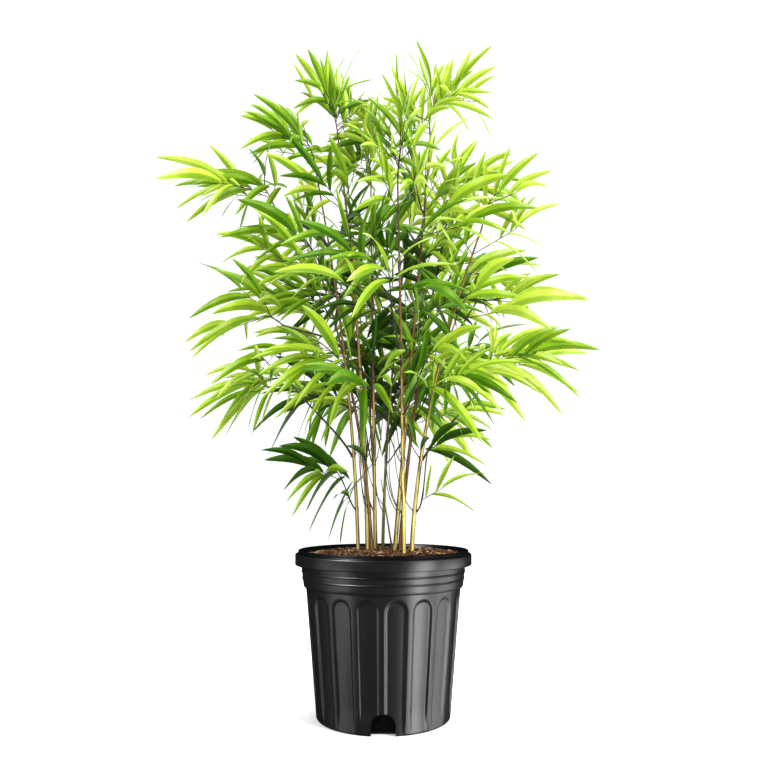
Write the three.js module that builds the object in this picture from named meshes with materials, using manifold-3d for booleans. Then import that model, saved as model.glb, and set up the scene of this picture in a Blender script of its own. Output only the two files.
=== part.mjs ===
// A clump of bamboo in a black nursery pot, in millimetres, +Z up.
// The origin is the middle of the pot's flat underside, and -Y is the side that faces the viewer.

import * as THREE from 'three';
import { mergeVertices } from 'three/addons/utils/BufferGeometryUtils.js';
import Module from 'manifold-3d';

const wasm = await Module();
wasm.setup();

// Clearance between neighbouring solids
const GAP = 0.3;
const JOINT_GAP = 0.48;

// Pot, a thin moulded shell: radii and heights of its bands
const POT_SIDES = 32;
const FOOT_RADIUS = 100.4;
const FOOT_ROUND = 2.5;
const BODY_TOP_RADIUS = 118.1;
const COLLAR_BOTTOM = 190;
const COLLAR_BOTTOM_RADIUS = 121.6;
const COLLAR_TOP_RADIUS = 125.6;
const BAND_RADIUS = 135;
const BAND_BOTTOM = 222;
const BAND_TOP = 238.6;
const BAND_ROUND = 1.2;
const LIP_RADIUS = 130.5;
const LIP_TOP = 244;
const LIP_WIDTH = 4;
const WALL = 3.4;
const FLOOR = 3;
const RING_HEIGHTS = [202.4, 212.5];
const RING_HALF_HEIGHT = 1.6;
const RING_PROUD = 1;

// Pot, the recessed panels that run up its body, and the drainage notches
const PANEL_COUNT = 18;
const PANEL_OUTER_ANGLE = THREE.MathUtils.degToRad(16.6);
const PANEL_FLOOR_ANGLE = THREE.MathUtils.degToRad(12.2);
const PANEL_TURN = THREE.MathUtils.degToRad(9);
const PANEL_BOTTOM = 5;
const PANEL_SPRING = 166;
const PANEL_DEPTH = 1.5;
const PANEL_BORDER = 5;
const PANEL_ARC_STEPS = 4;
const PANEL_OVERCUT = 60;
const NOTCH_COUNT = 3;
const NOTCH_WIDTH = 34;
const NOTCH_HEIGHT = 30;
const NOTCH_DEPTH = 14;

// Soil that fills the pot: level round the culms, a little lower at the wall
const SOIL_TOP = 240;
const SOIL_EDGE = 236.5;
const SOIL_LEVEL_RADIUS = 92;

// Culms: the hollow jointed stems of the clump
const CULM_SIDES = 5;
const INTERNODE = 84;
const NODE_HALF_HEIGHT = 2.2;
const NODE_SWELL = 1.22;
const TIP_SHARE = 0.36;
const LOWEST_JOINT = 0.75;
const LAST_INTERNODE = 0.25;
const HANDLES = [0.33, 0.67];
const HANDLE_LAGS = [0.25, 0.22];

// Boughs and stems: their radii, and how far they run outward and up before they bend to their far end
const BOUGH_SIDES = 5;
const BOUGH_RADIUS = 2;
const BOUGH_TIP_RADIUS = 1.4;
const BOUGH_OUT = 0.12;
const BOUGH_RISE = 0.22;
const STEM_RADIUS = 2;
const STEM_OUT = 0.2;
const STEM_RISE = 0.12;
const END_HANDLE = 0.35;
const STEM_STEPS = 4;

// Side twigs of a stem: angles in radians, lengths as shares of the usual one
const TWIG_SIDES = 3;
const TWIG_RADIUS = 1;
const TWIG_TIP_RADIUS = 1.2;
const TWIG_COUNT = 3;
const TWIG_LENGTH = 78;
const TWIG_LENGTHS = [0.7, 1.2];
const FIRST_TWIG_AT = 0.25;
const LAST_TWIG_AT = 0.7;
const TWIG_ROLL = [0, 0.6];
const TWIG_SPREAD = [0.6, 1.2];
const TWIG_LIFT = [-0.2, 0.2];

// Leaves: the blade, as shares of its length
const LEAF_LENGTH = 122;
const LEAF_WIDTH = 26;
const LEAF_THICKNESS = 1.5;
const LEAF_ROOT = 0.6;
const LEAF_WIDEST_AT = 0.38;
const LEAF_ARCH = 0.07;
const LEAF_DROOP = 0.2;

// Fans of leaves: the angle to the twig and the lift grow from leaf to leaf behind the first
const FAN_LEAVES = 5;
const TWIG_LEAVES = 4;
const LEAF_STEP = 10;
const FAN_ROLL = [0.45, 1.3];
const END_LEAF_SPREAD = [-0.15, 0.15];
const LEAF_SPREAD = [0.32, 0.5];
const SPREAD_STEP = 0.13;
const LEAF_LIFT = [0.1, 0.2];
const LIFT_STEP = 0.13;
const LEAF_TURN = [-0.3, 0.3];
const LEAF_SIZES = [0.84, 1.1];
const SIDE_LEAF_SCALE = 0.92;
const CROWN_LEAF_SCALE = 0.8;
const UPRIGHT_ROLL = 1.1;

// Room for growth: each try is a little smaller than the one before, and keeps clear of its neighbours
const TRIES = 24;
const SHRINK = 0.985;
const SPACE_MARGIN = 0.6;
const LIMB_CLEARANCE = 1.5;
const CULM_TEST_STEPS = 12;
const BOUGH_TEST_STEPS = 6;
const FIRST_SEED = 101;
const SEED_STEP = 53;

const UP = new THREE.Vector3(0, 0, 1);
const NORTH = new THREE.Vector3(0, 1, 0);

// Each culm: where it leaves the soil, where it ends, its foot radius, and how late it leans (0 is straight)
const CULMS = {
  culm_left: { foot: [-40, 31], tip: [-112, -8, 858], radius: 3.1, bow: 1 },
  culm_left_tall: { foot: [-25, 33], tip: [-76, 18, 918], radius: 3.7, bow: 1 },
  culm_left_brown: { foot: [-18, 12], tip: [-122, 88, 742], radius: 3, bow: 1 },
  culm_centre: { foot: [-13, 46], tip: [-22, 62, 870], radius: 3.2, bow: 0 },
  culm_centre_back: { foot: [-1, 64], tip: [48, 132, 816], radius: 2.8, bow: 1 },
  culm_back: { foot: [-12, 82], tip: [-44, 158, 658], radius: 2.6, bow: 1 },
  culm_tall: { foot: [18, 28], tip: [78, 0, 908], radius: 3.7, bow: 0 },
  culm_right_brown: { foot: [26, 38], tip: [112, 62, 806], radius: 3.3, bow: 0.6 },
  culm_front: { foot: [31, -27], tip: [22, -92, 790], radius: 3.4, bow: 0.8 },
  culm_right: { foot: [44, 7], tip: [158, -22, 750], radius: 3.6, bow: 1 },
  young_shoot: { foot: [14, 56], tip: [-4, 40, 352], radius: 1.7, bow: 0 },
};

// Long branches that carry a mass well away from the culms: culm, height of the joint it leaves, far end
const BOUGHS = {
  bough_left_high: { culm: 'culm_left', from: 690, to: [-176, -14, 790] },
  bough_left_middle: { culm: 'culm_left', from: 545, to: [-158, -34, 590] },
  bough_left_low: { culm: 'culm_left', from: 400, to: [-134, -18, 486] },
  bough_right_middle: { culm: 'culm_right', from: 545, to: [150, -8, 634] },
  bough_right_low: { culm: 'culm_right', from: 400, to: [150, 4, 486] },
  bough_front_middle: { culm: 'culm_front', from: 510, to: [12, -142, 590] },
  bough_back_middle: { culm: 'culm_centre_back', from: 480, to: [40, 166, 566] },
};

// Foliage masses: the limb, the height of the joint it leaves where that isn't the limb's end,
// the far end of the stem, the tilt of that end above the level in degrees, and the leaves of its
// end fan and its side twigs where they aren't the usual number
const MASSES = {
  foliage_top_left: { limb: 'culm_left_tall', to: [-86, 8, 978], tilt: 74, fan: 7 },
  foliage_top_left_outer: { limb: 'culm_left', to: [-142, -20, 915], tilt: 18, fan: 6 },
  foliage_top_centre: { limb: 'culm_centre', to: [-29, 72, 928], tilt: 72, fan: 6 },
  foliage_top_right: { limb: 'culm_tall', to: [90, -9, 978], tilt: 22, fan: 7 },
  foliage_upper_right: { limb: 'culm_right_brown', to: [130, 63, 875], tilt: 52, fan: 6 },
  foliage_high_left: { limb: 'bough_left_high', to: [-203, -28, 821], tilt: -44, fan: 6 },
  foliage_high_front: { limb: 'culm_front', to: [32, -119, 856], tilt: 7, fan: 6 },
  foliage_high_right: { limb: 'culm_right', to: [185, -39, 805], tilt: 15, fan: 6 },
  foliage_high_back: { limb: 'culm_centre_back', to: [59, 154, 867], tilt: 52, fan: 6, twigs: 2 },
  foliage_high_left_back: { limb: 'culm_left_brown', to: [-149, 99, 784], tilt: 42, fan: 6 },
  foliage_inner_top: { limb: 'culm_tall', from: 800, to: [35, -41, 876], tilt: 25, fan: 6, twigs: 2 },
  foliage_inner_left: { limb: 'culm_left_tall', from: 730, to: [-55, -71, 807], tilt: 18, fan: 6, twigs: 1 },
  foliage_inner_centre: { limb: 'culm_centre', from: 720, to: [-23, 98, 783], tilt: 18, twigs: 1 },
  foliage_inner_right: { limb: 'culm_right_brown', from: 690, to: [111, -50, 789], tilt: 22, twigs: 2 },
  foliage_upper_left: { limb: 'culm_left', from: 625, to: [-134, -63, 718], tilt: -28 },
  foliage_outer_left: { limb: 'culm_left_brown', from: 610, to: [-133, 49, 677], tilt: -2 },
  foliage_upper_front_left: { limb: 'culm_front', from: 630, to: [-64, -138, 704], tilt: 0 },
  foliage_upper_front_right: { limb: 'culm_front', from: 680, to: [88, -138, 732], tilt: -10 },
  foliage_upper_right_outer: { limb: 'culm_right_brown', from: 610, to: [146, 40, 716], tilt: -8 },
  foliage_upper_back_left: { limb: 'culm_back', to: [-94, 186, 709], tilt: -8, twigs: 2 },
  foliage_upper_back_right: { limb: 'culm_centre_back', from: 640, to: [118, 154, 711], tilt: -5, twigs: 2 },
  foliage_middle_left: { limb: 'bough_left_middle', to: [-193, -49, 597], tilt: -56, fan: 6 },
  foliage_middle_front: { limb: 'bough_front_middle', to: [6, -193, 630], tilt: -8 },
  foliage_middle_front_right: { limb: 'culm_right', from: 560, to: [136, -112, 625], tilt: -14 },
  foliage_middle_right: { limb: 'bough_right_middle', to: [176, 8, 632], tilt: -22, fan: 6 },
  foliage_middle_back: { limb: 'bough_back_middle', to: [30, 224, 596], tilt: -30, twigs: 2 },
  foliage_middle_back_left: { limb: 'culm_left_brown', from: 520, to: [-144, 123, 591], tilt: -28, twigs: 2 },
  foliage_middle_back_right: { limb: 'culm_right_brown', from: 480, to: [134, 129, 568], tilt: -35 },
  foliage_low_left: { limb: 'bough_left_low', to: [-180, -30, 502], tilt: -42, fan: 6 },
  foliage_low_front_left: { limb: 'culm_front', from: 420, to: [-82, -110, 527], tilt: -19, twigs: 2 },
  foliage_low_front_right: { limb: 'culm_front', from: 430, to: [84, -118, 536], tilt: -15, twigs: 2 },
  foliage_low_right: { limb: 'bough_right_low', to: [188, 8, 552], tilt: -2, fan: 6 },
  foliage_low_inner_right: { limb: 'culm_right', from: 470, to: [119, -56, 507], tilt: -40, twigs: 1 },
  foliage_low_back: { limb: 'culm_back', from: 400, to: [-53, 185, 511], tilt: -44, twigs: 2 },
  foliage_low_back_right: { limb: 'culm_centre_back', from: 400, to: [91, 166, 465], tilt: -24, twigs: 2 },
  foliage_low_inner_left: { limb: 'culm_left', from: 480, to: [-138, 54, 482], tilt: -25, twigs: 2 },
  foliage_lowest_left: { limb: 'culm_left', from: 320, to: [-84, -22, 368], tilt: -6, fan: 7, twigs: 2 },
  foliage_lowest_right: { limb: 'culm_right', from: 320, to: [82, -19, 402], tilt: -43, fan: 4, twigs: 0 },
};

// Finishes: satin plastic, damp bark, waxy cane, dull thin cane, satin leaf

function finish(color, roughness) {
  return new THREE.MeshStandardMaterial({ color, roughness, metalness: 0 });
}

const FINISHES = {
  pot: () => finish('#26282a', 0.45),
  soil: () => finish('#5d3520', 0.95),
  culm: () => finish('#b9a14c', 0.5),
  bough: () => finish('#4a3826', 0.6),
  foliage: () => finish('#7fbf1e', 0.5),
};

// Solids: a closed three.js geometry to a solid that can be joined or cut, and back

function toSolid(geometry) {
  let bare = geometry.clone();
  bare.deleteAttribute('normal');
  bare.deleteAttribute('uv');
  bare = mergeVertices(bare, 1e-4);
  const vertProperties = new Float32Array(bare.attributes.position.array);
  const triVerts = new Uint32Array(bare.index.array);
  return new wasm.Manifold(new wasm.Mesh({ numProp: 3, vertProperties, triVerts }));
}

function toGeometry(solid) {
  const mesh = solid.getMesh();
  const geometry = new THREE.BufferGeometry();
  geometry.setAttribute('position', new THREE.BufferAttribute(new Float32Array(mesh.vertProperties), 3));
  geometry.setIndex(new THREE.BufferAttribute(new Uint32Array(mesh.triVerts), 1));
  geometry.computeVertexNormals();
  return geometry;
}

function join(solids) {
  let pool = solids;
  while (pool.length > 1) {
    const next = [];
    for (let i = 0; i < pool.length; i += 2) {
      next.push(i + 1 < pool.length ? pool[i].add(pool[i + 1]) : pool[i]);
    }
    pool = next;
  }
  return pool[0];
}

// The largest body of a solid, with loose scrap left out
function largestBody(solid) {
  const bodies = solid.decompose();
  return bodies.reduce((best, body) => (body.volume() > best.volume() ? body : best));
}

function indexedGeometry(points, faces) {
  const geometry = new THREE.BufferGeometry();
  const positions = points.flatMap((p) => [p.x, p.y, p.z]);
  geometry.setAttribute('position', new THREE.Float32BufferAttribute(positions, 3));
  geometry.setIndex(faces.flat());
  return geometry;
}

// Revolves a closed outline of [radius, height] round the Z axis
function revolve(outline, sides) {
  const profile = outline.map(([radius, height]) => new THREE.Vector2(radius, height));
  const geometry = new THREE.LatheGeometry(profile, sides);
  geometry.rotateX(Math.PI / 2);
  return geometry;
}

// Closes a stack of rings of equal length, given from first to last, each anticlockwise seen from the last
function loft(rings) {
  const sides = rings[0].length;
  const points = rings.flat();
  const faces = [];
  for (let r = 0; r + 1 < rings.length; r += 1) {
    for (let i = 0; i < sides; i += 1) {
      const a = r * sides + i;
      const b = r * sides + ((i + 1) % sides);
      faces.push([a, b, b + sides], [a, b + sides, a + sides]);
    }
  }
  const last = (rings.length - 1) * sides;
  for (let i = 1; i + 1 < sides; i += 1) {
    faces.push([0, i + 1, i], [last, last + i, last + i + 1]);
  }
  return indexedGeometry(points, faces);
}

// The level side of a direction, or of the lean of its limb where the direction stands upright
function sideOf(direction, lean = NORTH) {
  const side = new THREE.Vector3().crossVectors(direction, UP);
  return side.lengthSq() < 1e-6 ? sideOf(lean) : side.normalize();
}

// The corners of a section of radius 1 square to a direction
function sectionCorners(direction, sides, lean) {
  const side = sideOf(direction, lean);
  const across = new THREE.Vector3().crossVectors(side, direction);
  return Array.from({ length: sides }, (_, i) => {
    const angle = -(2 * Math.PI * i) / sides;
    return side.clone().multiplyScalar(Math.cos(angle)).addScaledVector(across, Math.sin(angle));
  });
}

// A tapering limb along points, with the radius and direction of each section
function limb(points, radii, directions, sides) {
  const lean = points[points.length - 1].clone().sub(points[0]);
  const section = (centre, k) => sectionCorners(directions[k], sides, lean)
    .map((corner) => corner.multiplyScalar(radii[k]).add(centre));
  return loft(points.map(section));
}

// Pot

function bodyRadius(height) {
  const share = (height - FOOT_ROUND) / (COLLAR_BOTTOM - FOOT_ROUND);
  return FOOT_RADIUS + share * (BODY_TOP_RADIUS - FOOT_RADIUS);
}

function collarRadius(height) {
  const share = (height - COLLAR_BOTTOM) / (BAND_BOTTOM - COLLAR_BOTTOM);
  return COLLAR_BOTTOM_RADIUS + share * (COLLAR_TOP_RADIUS - COLLAR_BOTTOM_RADIUS);
}

function raisedRing(height) {
  const low = height - RING_HALF_HEIGHT;
  const high = height + RING_HALF_HEIGHT;
  return [[collarRadius(low), low], [collarRadius(height) + RING_PROUD, height], [collarRadius(high), high]];
}

function innerRadius(height) {
  return bodyRadius(height) - WALL;
}

function potShell() {
  const outer = [
    [0, 0], [FOOT_RADIUS - FOOT_ROUND, 0], [FOOT_RADIUS, FOOT_ROUND],
    [BODY_TOP_RADIUS, COLLAR_BOTTOM], [COLLAR_BOTTOM_RADIUS, COLLAR_BOTTOM + WALL / 2],
    ...RING_HEIGHTS.flatMap(raisedRing),
    [COLLAR_TOP_RADIUS, BAND_BOTTOM], [BAND_RADIUS, BAND_BOTTOM], [BAND_RADIUS, BAND_TOP - BAND_ROUND],
    [BAND_RADIUS - BAND_ROUND, BAND_TOP], [LIP_RADIUS, BAND_TOP + BAND_ROUND],
    [LIP_RADIUS - BAND_ROUND, LIP_TOP],
  ];
  const inner = [
    [LIP_RADIUS - LIP_WIDTH, LIP_TOP], [innerRadius(SOIL_EDGE) + WALL, SOIL_EDGE],
    [innerRadius(COLLAR_BOTTOM), COLLAR_BOTTOM], [innerRadius(FLOOR), FLOOR], [0, FLOOR],
  ];
  return toSolid(revolve([...outer, ...inner], POT_SIDES));
}

// The outline of an arched panel as [angle off its middle, height], anticlockwise seen from outside,
// from the middle of its bottom edge
function panelOutline(fullAngle, bottom, archRise) {
  const half = fullAngle / 2;
  const outline = [[0, bottom], [half, bottom]];
  for (let k = 0; k <= PANEL_ARC_STEPS; k += 1) {
    const turn = (Math.PI * k) / PANEL_ARC_STEPS;
    outline.push([half * Math.cos(turn), PANEL_SPRING + archRise * Math.sin(turn)]);
  }
  outline.push([-half, bottom]);
  return outline;
}

// The space cut out of the wall by one panel: wide outside, its borders sloping in to a smaller floor
function panelCutter(middle) {
  const archRise = (bodyRadius(PANEL_SPRING) * PANEL_OUTER_ANGLE) / 2;
  const slopeAngle = (PANEL_OUTER_ANGLE - PANEL_FLOOR_ANGLE) / 2;
  const place = (outline, proud) => outline.map(([angle, height]) => {
    const radius = bodyRadius(height) + proud;
    return new THREE.Vector3(radius * Math.cos(middle + angle), radius * Math.sin(middle + angle), height);
  });
  const floorOutline = panelOutline(PANEL_FLOOR_ANGLE, PANEL_BOTTOM + PANEL_BORDER, archRise - PANEL_BORDER);
  const outerScale = 1 + 1 / PANEL_DEPTH;
  const wideAngle = PANEL_FLOOR_ANGLE + 2 * slopeAngle * outerScale;
  const wideBorder = PANEL_BORDER * outerScale;
  const wideOutline = panelOutline(wideAngle, PANEL_BOTTOM + PANEL_BORDER - wideBorder,
    archRise - PANEL_BORDER + wideBorder);
  return toSolid(loft([
    place(floorOutline, -PANEL_DEPTH), place(wideOutline, 1), place(wideOutline, PANEL_OVERCUT),
  ]));
}

// The space of one drainage notch, arched on top and open below, from inside the wall to well outside
function notchCutter(turn) {
  const shape = new THREE.Shape();
  const straight = NOTCH_HEIGHT - NOTCH_WIDTH / 2;
  shape.moveTo(-NOTCH_WIDTH / 2, -1);
  shape.lineTo(NOTCH_WIDTH / 2, -1);
  shape.lineTo(NOTCH_WIDTH / 2, straight);
  shape.absarc(0, straight, NOTCH_WIDTH / 2, 0, Math.PI, false);
  const geometry = new THREE.ExtrudeGeometry(shape, {
    depth: 2 * NOTCH_DEPTH, bevelEnabled: false, curveSegments: 6,
  });
  geometry.rotateX(Math.PI / 2);
  geometry.translate(0, -FOOT_RADIUS + NOTCH_DEPTH, 0);
  geometry.rotateZ(turn);
  return toSolid(geometry);
}

function notchCutters() {
  return Array.from({ length: NOTCH_COUNT }, (_, k) => notchCutter((2 * Math.PI * k) / NOTCH_COUNT));
}

function potGeometry() {
  let solid = potShell();
  const pitch = (2 * Math.PI) / PANEL_COUNT;
  for (let k = 0; k < PANEL_COUNT; k += 1) {
    solid = solid.subtract(panelCutter(PANEL_TURN + (k + 0.5) * pitch));
  }
  for (const cutter of notchCutters()) {
    solid = solid.subtract(cutter);
  }
  return toGeometry(solid);
}

function soilGeometry() {
  const bottom = FLOOR + GAP;
  const outline = [
    [0, bottom], [innerRadius(bottom) - GAP, bottom], [innerRadius(COLLAR_BOTTOM) - GAP, COLLAR_BOTTOM],
    [innerRadius(SOIL_EDGE) + WALL - GAP * 2, SOIL_EDGE], [SOIL_LEVEL_RADIUS, SOIL_TOP], [0, SOIL_TOP],
  ];
  let solid = toSolid(revolve(outline, POT_SIDES));
  for (const cutter of notchCutters()) {
    solid = solid.subtract(cutter);
  }
  return toGeometry(solid);
}

// Culms

function culmCurve({ foot, tip, bow }) {
  const start = new THREE.Vector3(foot[0], foot[1], SOIL_TOP + GAP);
  const end = new THREE.Vector3(...tip);
  const [low, high] = HANDLES.map((rise, k) => {
    const lean = rise - HANDLE_LAGS[k] * bow;
    return new THREE.Vector3(
      start.x + lean * (end.x - start.x),
      start.y + lean * (end.y - start.y),
      start.z + rise * (end.z - start.z),
    );
  });
  return new THREE.CubicBezierCurve3(start, low, high, end);
}

function culmRadius(culm, share) {
  return culm.radius * (1 - (1 - TIP_SHARE) * share);
}

// The joints of a culm as shares of its length, closer together towards the tip
function jointShares(culm) {
  const rise = culm.tip[2] - SOIL_TOP;
  const count = Math.max(1, Math.round(rise / INTERNODE));
  return Array.from({ length: count }, (_, k) => (k + LOWEST_JOINT) / (count + LAST_INTERNODE));
}

function culmGeometry(culm) {
  const curve = culmCurve(culm);
  const rise = culm.tip[2] - SOIL_TOP;
  const half = NODE_HALF_HEIGHT / rise;
  const sections = [[0, 1]];
  for (const share of jointShares(culm)) {
    sections.push([share, NODE_SWELL], [share + half, 1]);
  }
  sections.push([1, 1]);
  const points = sections.map(([share]) => curve.getPoint(share));
  const radii = sections.map(([share, swell]) => swell * culmRadius(culm, share));
  const directions = sections.map(([share], k) => (k === 0 ? UP.clone() : curve.getTangent(share)));
  return limb(points, radii, directions, CULM_SIDES);
}

// Where a branch leaves a culm's joint nearest to a height, heading for a far point: just clear of the
// culm's faceted side
function leaveCulm(culm, height, far) {
  const curve = culmCurve(culm);
  const share = jointShares(culm).reduce((best, s) => (
    Math.abs(curve.getPoint(s).z - height) < Math.abs(curve.getPoint(best).z - height) ? s : best));
  const centre = curve.getPoint(share);
  const outward = far.clone().sub(centre).setZ(0).normalize();
  const corners = sectionCorners(curve.getTangent(share), CULM_SIDES, outward);
  const widest = Math.max(...corners.map((corner) => corner.dot(outward)));
  const clear = widest * NODE_SWELL * culmRadius(culm, share) + JOINT_GAP;
  return { start: centre.addScaledVector(outward, clear), direction: outward };
}

// Boughs

// A curve that sets off along its direction while it rises, and ends along its end direction
function branchCurve(start, direction, end, endDirection, out, rise) {
  const reach = start.distanceTo(end);
  const first = start.clone().addScaledVector(direction, reach * out).addScaledVector(UP, reach * rise);
  const second = end.clone().addScaledVector(endDirection, -reach * END_HANDLE);
  return new THREE.CubicBezierCurve3(start, first, second, end);
}

function boughPath(bough) {
  const end = new THREE.Vector3(...bough.to);
  const { start, direction } = leaveCulm(CULMS[bough.culm], bough.from, end);
  const outward = end.clone().sub(start).normalize();
  return { curve: branchCurve(start, direction, end, outward, BOUGH_OUT, BOUGH_RISE), direction };
}

function limbAlong(curve, direction, steps, firstRadius, lastRadius, sides) {
  const shares = Array.from({ length: steps + 1 }, (_, k) => k / steps);
  const points = shares.map((share) => curve.getPoint(share));
  const radii = shares.map((share) => firstRadius + share * (lastRadius - firstRadius));
  const directions = shares.map((share, k) => (k === 0 ? direction : curve.getTangent(share)));
  return limb(points, radii, directions, sides);
}

// Foliage

// A seeded stream of numbers from 0 to 1, the same for a given seed
function seeded(seed) {
  let state = seed;
  return () => {
    state = (state * 1664525 + 1013904223) % 4294967296;
    return state / 4294967296;
  };
}

// Where a stem goes on from the end of a curve
function leaveEnd(curve) {
  const direction = curve.getTangent(1);
  return { start: curve.getPoint(1).addScaledVector(direction, GAP), direction };
}

function leaveLimb(mass, end) {
  if (mass.limb in BOUGHS) {
    return leaveEnd(boughPath(BOUGHS[mass.limb]).curve);
  }
  const culm = CULMS[mass.limb];
  return mass.from === undefined ? leaveEnd(culmCurve(culm)) : leaveCulm(culm, mass.from, end);
}

function stemPath(mass) {
  const end = new THREE.Vector3(...mass.to);
  const { start, direction } = leaveLimb(mass, end);
  const tilt = THREE.MathUtils.degToRad(mass.tilt);
  const level = end.clone().sub(start).setZ(0).normalize();
  const endDirection = level.multiplyScalar(Math.cos(tilt)).addScaledVector(UP, Math.sin(tilt));
  return { curve: branchCurve(start, direction, end, endDirection, STEM_OUT, STEM_RISE), direction };
}

function between(random, [low, high]) {
  return low + (high - low) * random();
}

function distanceToPath(point, path) {
  let best = Infinity;
  const leg = new THREE.Vector3();
  const off = new THREE.Vector3();
  for (let k = 0; k + 1 < path.length; k += 1) {
    leg.subVectors(path[k + 1], path[k]);
    off.subVectors(point, path[k]);
    const along = THREE.MathUtils.clamp(off.dot(leg) / leg.lengthSq(), 0, 1);
    best = Math.min(best, off.addScaledVector(leg, -along).length());
  }
  return best;
}

const STEMS = Object.fromEntries(Object.entries(MASSES).map(([name, mass]) => [name, stemPath(mass)]));
const STEM_LINES = Object.fromEntries(Object.entries(STEMS).map(([name, stem]) => [
  name, stem.curve.getPoints(STEM_STEPS)]));

const LIMB_LINES = [
  ...Object.values(CULMS).map((culm) => ({
    path: culmCurve(culm).getPoints(CULM_TEST_STEPS), radius: NODE_SWELL * culm.radius,
  })),
  ...Object.values(BOUGHS).map((bough) => ({
    path: boughPath(bough).curve.getPoints(BOUGH_TEST_STEPS), radius: BOUGH_RADIUS,
  })),
];

// A point is in a mass's own space where it is nearer to that mass's stem than to any other's
function inOwnSpace(name, point) {
  const own = distanceToPath(point, STEM_LINES[name]) + 2 * SPACE_MARGIN;
  return Object.entries(STEM_LINES).every(([other, path]) => (
    other === name || distanceToPath(point, path) > own));
}

function clearOfLimbs(point) {
  return LIMB_LINES.every(({ path, radius }) => distanceToPath(point, path) > radius + LIMB_CLEARANCE);
}

function fits(name, points) {
  return points.every((point) => inOwnSpace(name, point) && clearOfLimbs(point));
}

// The corners of a leaf: a blade with a keel, its tip hanging down more the more level it grows
function leafCorners(leaf) {
  const side = new THREE.Vector3().crossVectors(leaf.direction, leaf.face).normalize();
  const level = Math.hypot(leaf.direction.x, leaf.direction.y);
  const middle = leaf.root.clone()
    .addScaledVector(leaf.direction, LEAF_WIDEST_AT * leaf.length)
    .addScaledVector(leaf.face, LEAF_ARCH * leaf.length);
  const tip = leaf.root.clone()
    .addScaledVector(leaf.direction, leaf.length)
    .addScaledVector(UP, -LEAF_DROOP * level * leaf.length);
  return {
    rootTop: leaf.root.clone().addScaledVector(leaf.face, LEAF_ROOT / 2),
    rootBottom: leaf.root.clone().addScaledVector(leaf.face, -LEAF_ROOT / 2),
    left: middle.clone().addScaledVector(side, -leaf.width / 2),
    right: middle.clone().addScaledVector(side, leaf.width / 2),
    keel: middle.clone().addScaledVector(leaf.face, -LEAF_THICKNESS),
    tip,
  };
}

function leafSolid(leaf) {
  const c = leafCorners(leaf);
  const points = [c.rootTop, c.rootBottom, c.left, c.right, c.keel, c.tip];
  const faces = [[0, 3, 2], [2, 3, 5], [0, 2, 1], [0, 1, 3], [1, 2, 4], [1, 4, 3], [4, 2, 5], [4, 5, 3]];
  return toSolid(indexedGeometry(points, faces));
}

// Points spread over a leaf, from a little way past its root, to test the room it needs
function leafSamples(leaf) {
  const c = leafCorners(leaf);
  const samples = [];
  for (const share of [0.35, 0.7, 1]) {
    for (const corner of [c.left, c.right, c.keel]) {
      samples.push(leaf.root.clone().lerp(corner, share));
    }
  }
  for (const share of [0.25, 0.5, 0.75, 1]) {
    for (const corner of [c.left, c.right, c.keel]) {
      samples.push(corner.clone().lerp(c.tip, share));
    }
  }
  return samples;
}

// The upper face of the plane that a shoot spreads in: rolled to one hand about the shoot,
// and more so where the shoot stands upright
function spreadFace(direction, rolls, random) {
  const hand = random() < 0.5 ? -1 : 1;
  const upright = UPRIGHT_ROLL * Math.max(0, direction.z) ** 2;
  const roll = hand * (between(random, rolls) + upright);
  return sideOf(direction).cross(direction).applyAxisAngle(direction, roll);
}

// Leaves in a fan on the last part of a twig: the first at its tip, the others behind it to either side
function growFan(name, path, count, scale, random) {
  const tip = path[path.length - 1];
  const direction = tip.clone().sub(path[path.length - 2]).normalize();
  const face = spreadFace(direction, FAN_ROLL, random);
  const leaves = [];
  for (let k = 0; k < count; k += 1) {
    const hand = k % 2 === 0 ? 1 : -1;
    const root = tip.clone().addScaledVector(direction, -1 - LEAF_STEP * k);
    for (let attempt = 0; attempt < TRIES; attempt += 1) {
      const spread = k === 0
        ? between(random, END_LEAF_SPREAD)
        : hand * (between(random, LEAF_SPREAD) + SPREAD_STEP * k);
      const lift = between(random, LEAF_LIFT) - LIFT_STEP * k;
      const turn = between(random, LEAF_TURN);
      const size = scale * (k === 0 ? 1 : SIDE_LEAF_SCALE) * between(random, LEAF_SIZES) * SHRINK ** attempt;
      const heading = direction.clone().applyAxisAngle(face, spread).addScaledVector(face, lift).normalize();
      const bladeSide = new THREE.Vector3().crossVectors(heading, face).normalize();
      const bladeFace = bladeSide.cross(heading).applyAxisAngle(heading, turn);
      const leaf = {
        root, direction: heading, face: bladeFace, length: size * LEAF_LENGTH, width: size * LEAF_WIDTH,
      };
      if (fits(name, leafSamples(leaf))) {
        leaves.push(leaf);
        break;
      }
    }
  }
  return leaves;
}

// A side twig that leaves the stem at a share of its length, to one hand
function growTwig(name, stem, share, hand, scale, random) {
  const start = stem.curve.getPoint(share);
  const along = stem.curve.getTangent(share);
  for (let attempt = 0; attempt < TRIES; attempt += 1) {
    const face = spreadFace(along, TWIG_ROLL, random);
    const spread = hand * between(random, TWIG_SPREAD);
    const lift = between(random, TWIG_LIFT);
    const length = scale * TWIG_LENGTH * between(random, TWIG_LENGTHS);
    const heading = along.clone().applyAxisAngle(face, spread).addScaledVector(UP, lift).normalize();
    const middle = start.clone().addScaledVector(heading, length / 2);
    const end = start.clone().addScaledVector(heading, length);
    if (fits(name, [middle, end])) {
      return [start, end];
    }
  }
  return null;
}

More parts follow.
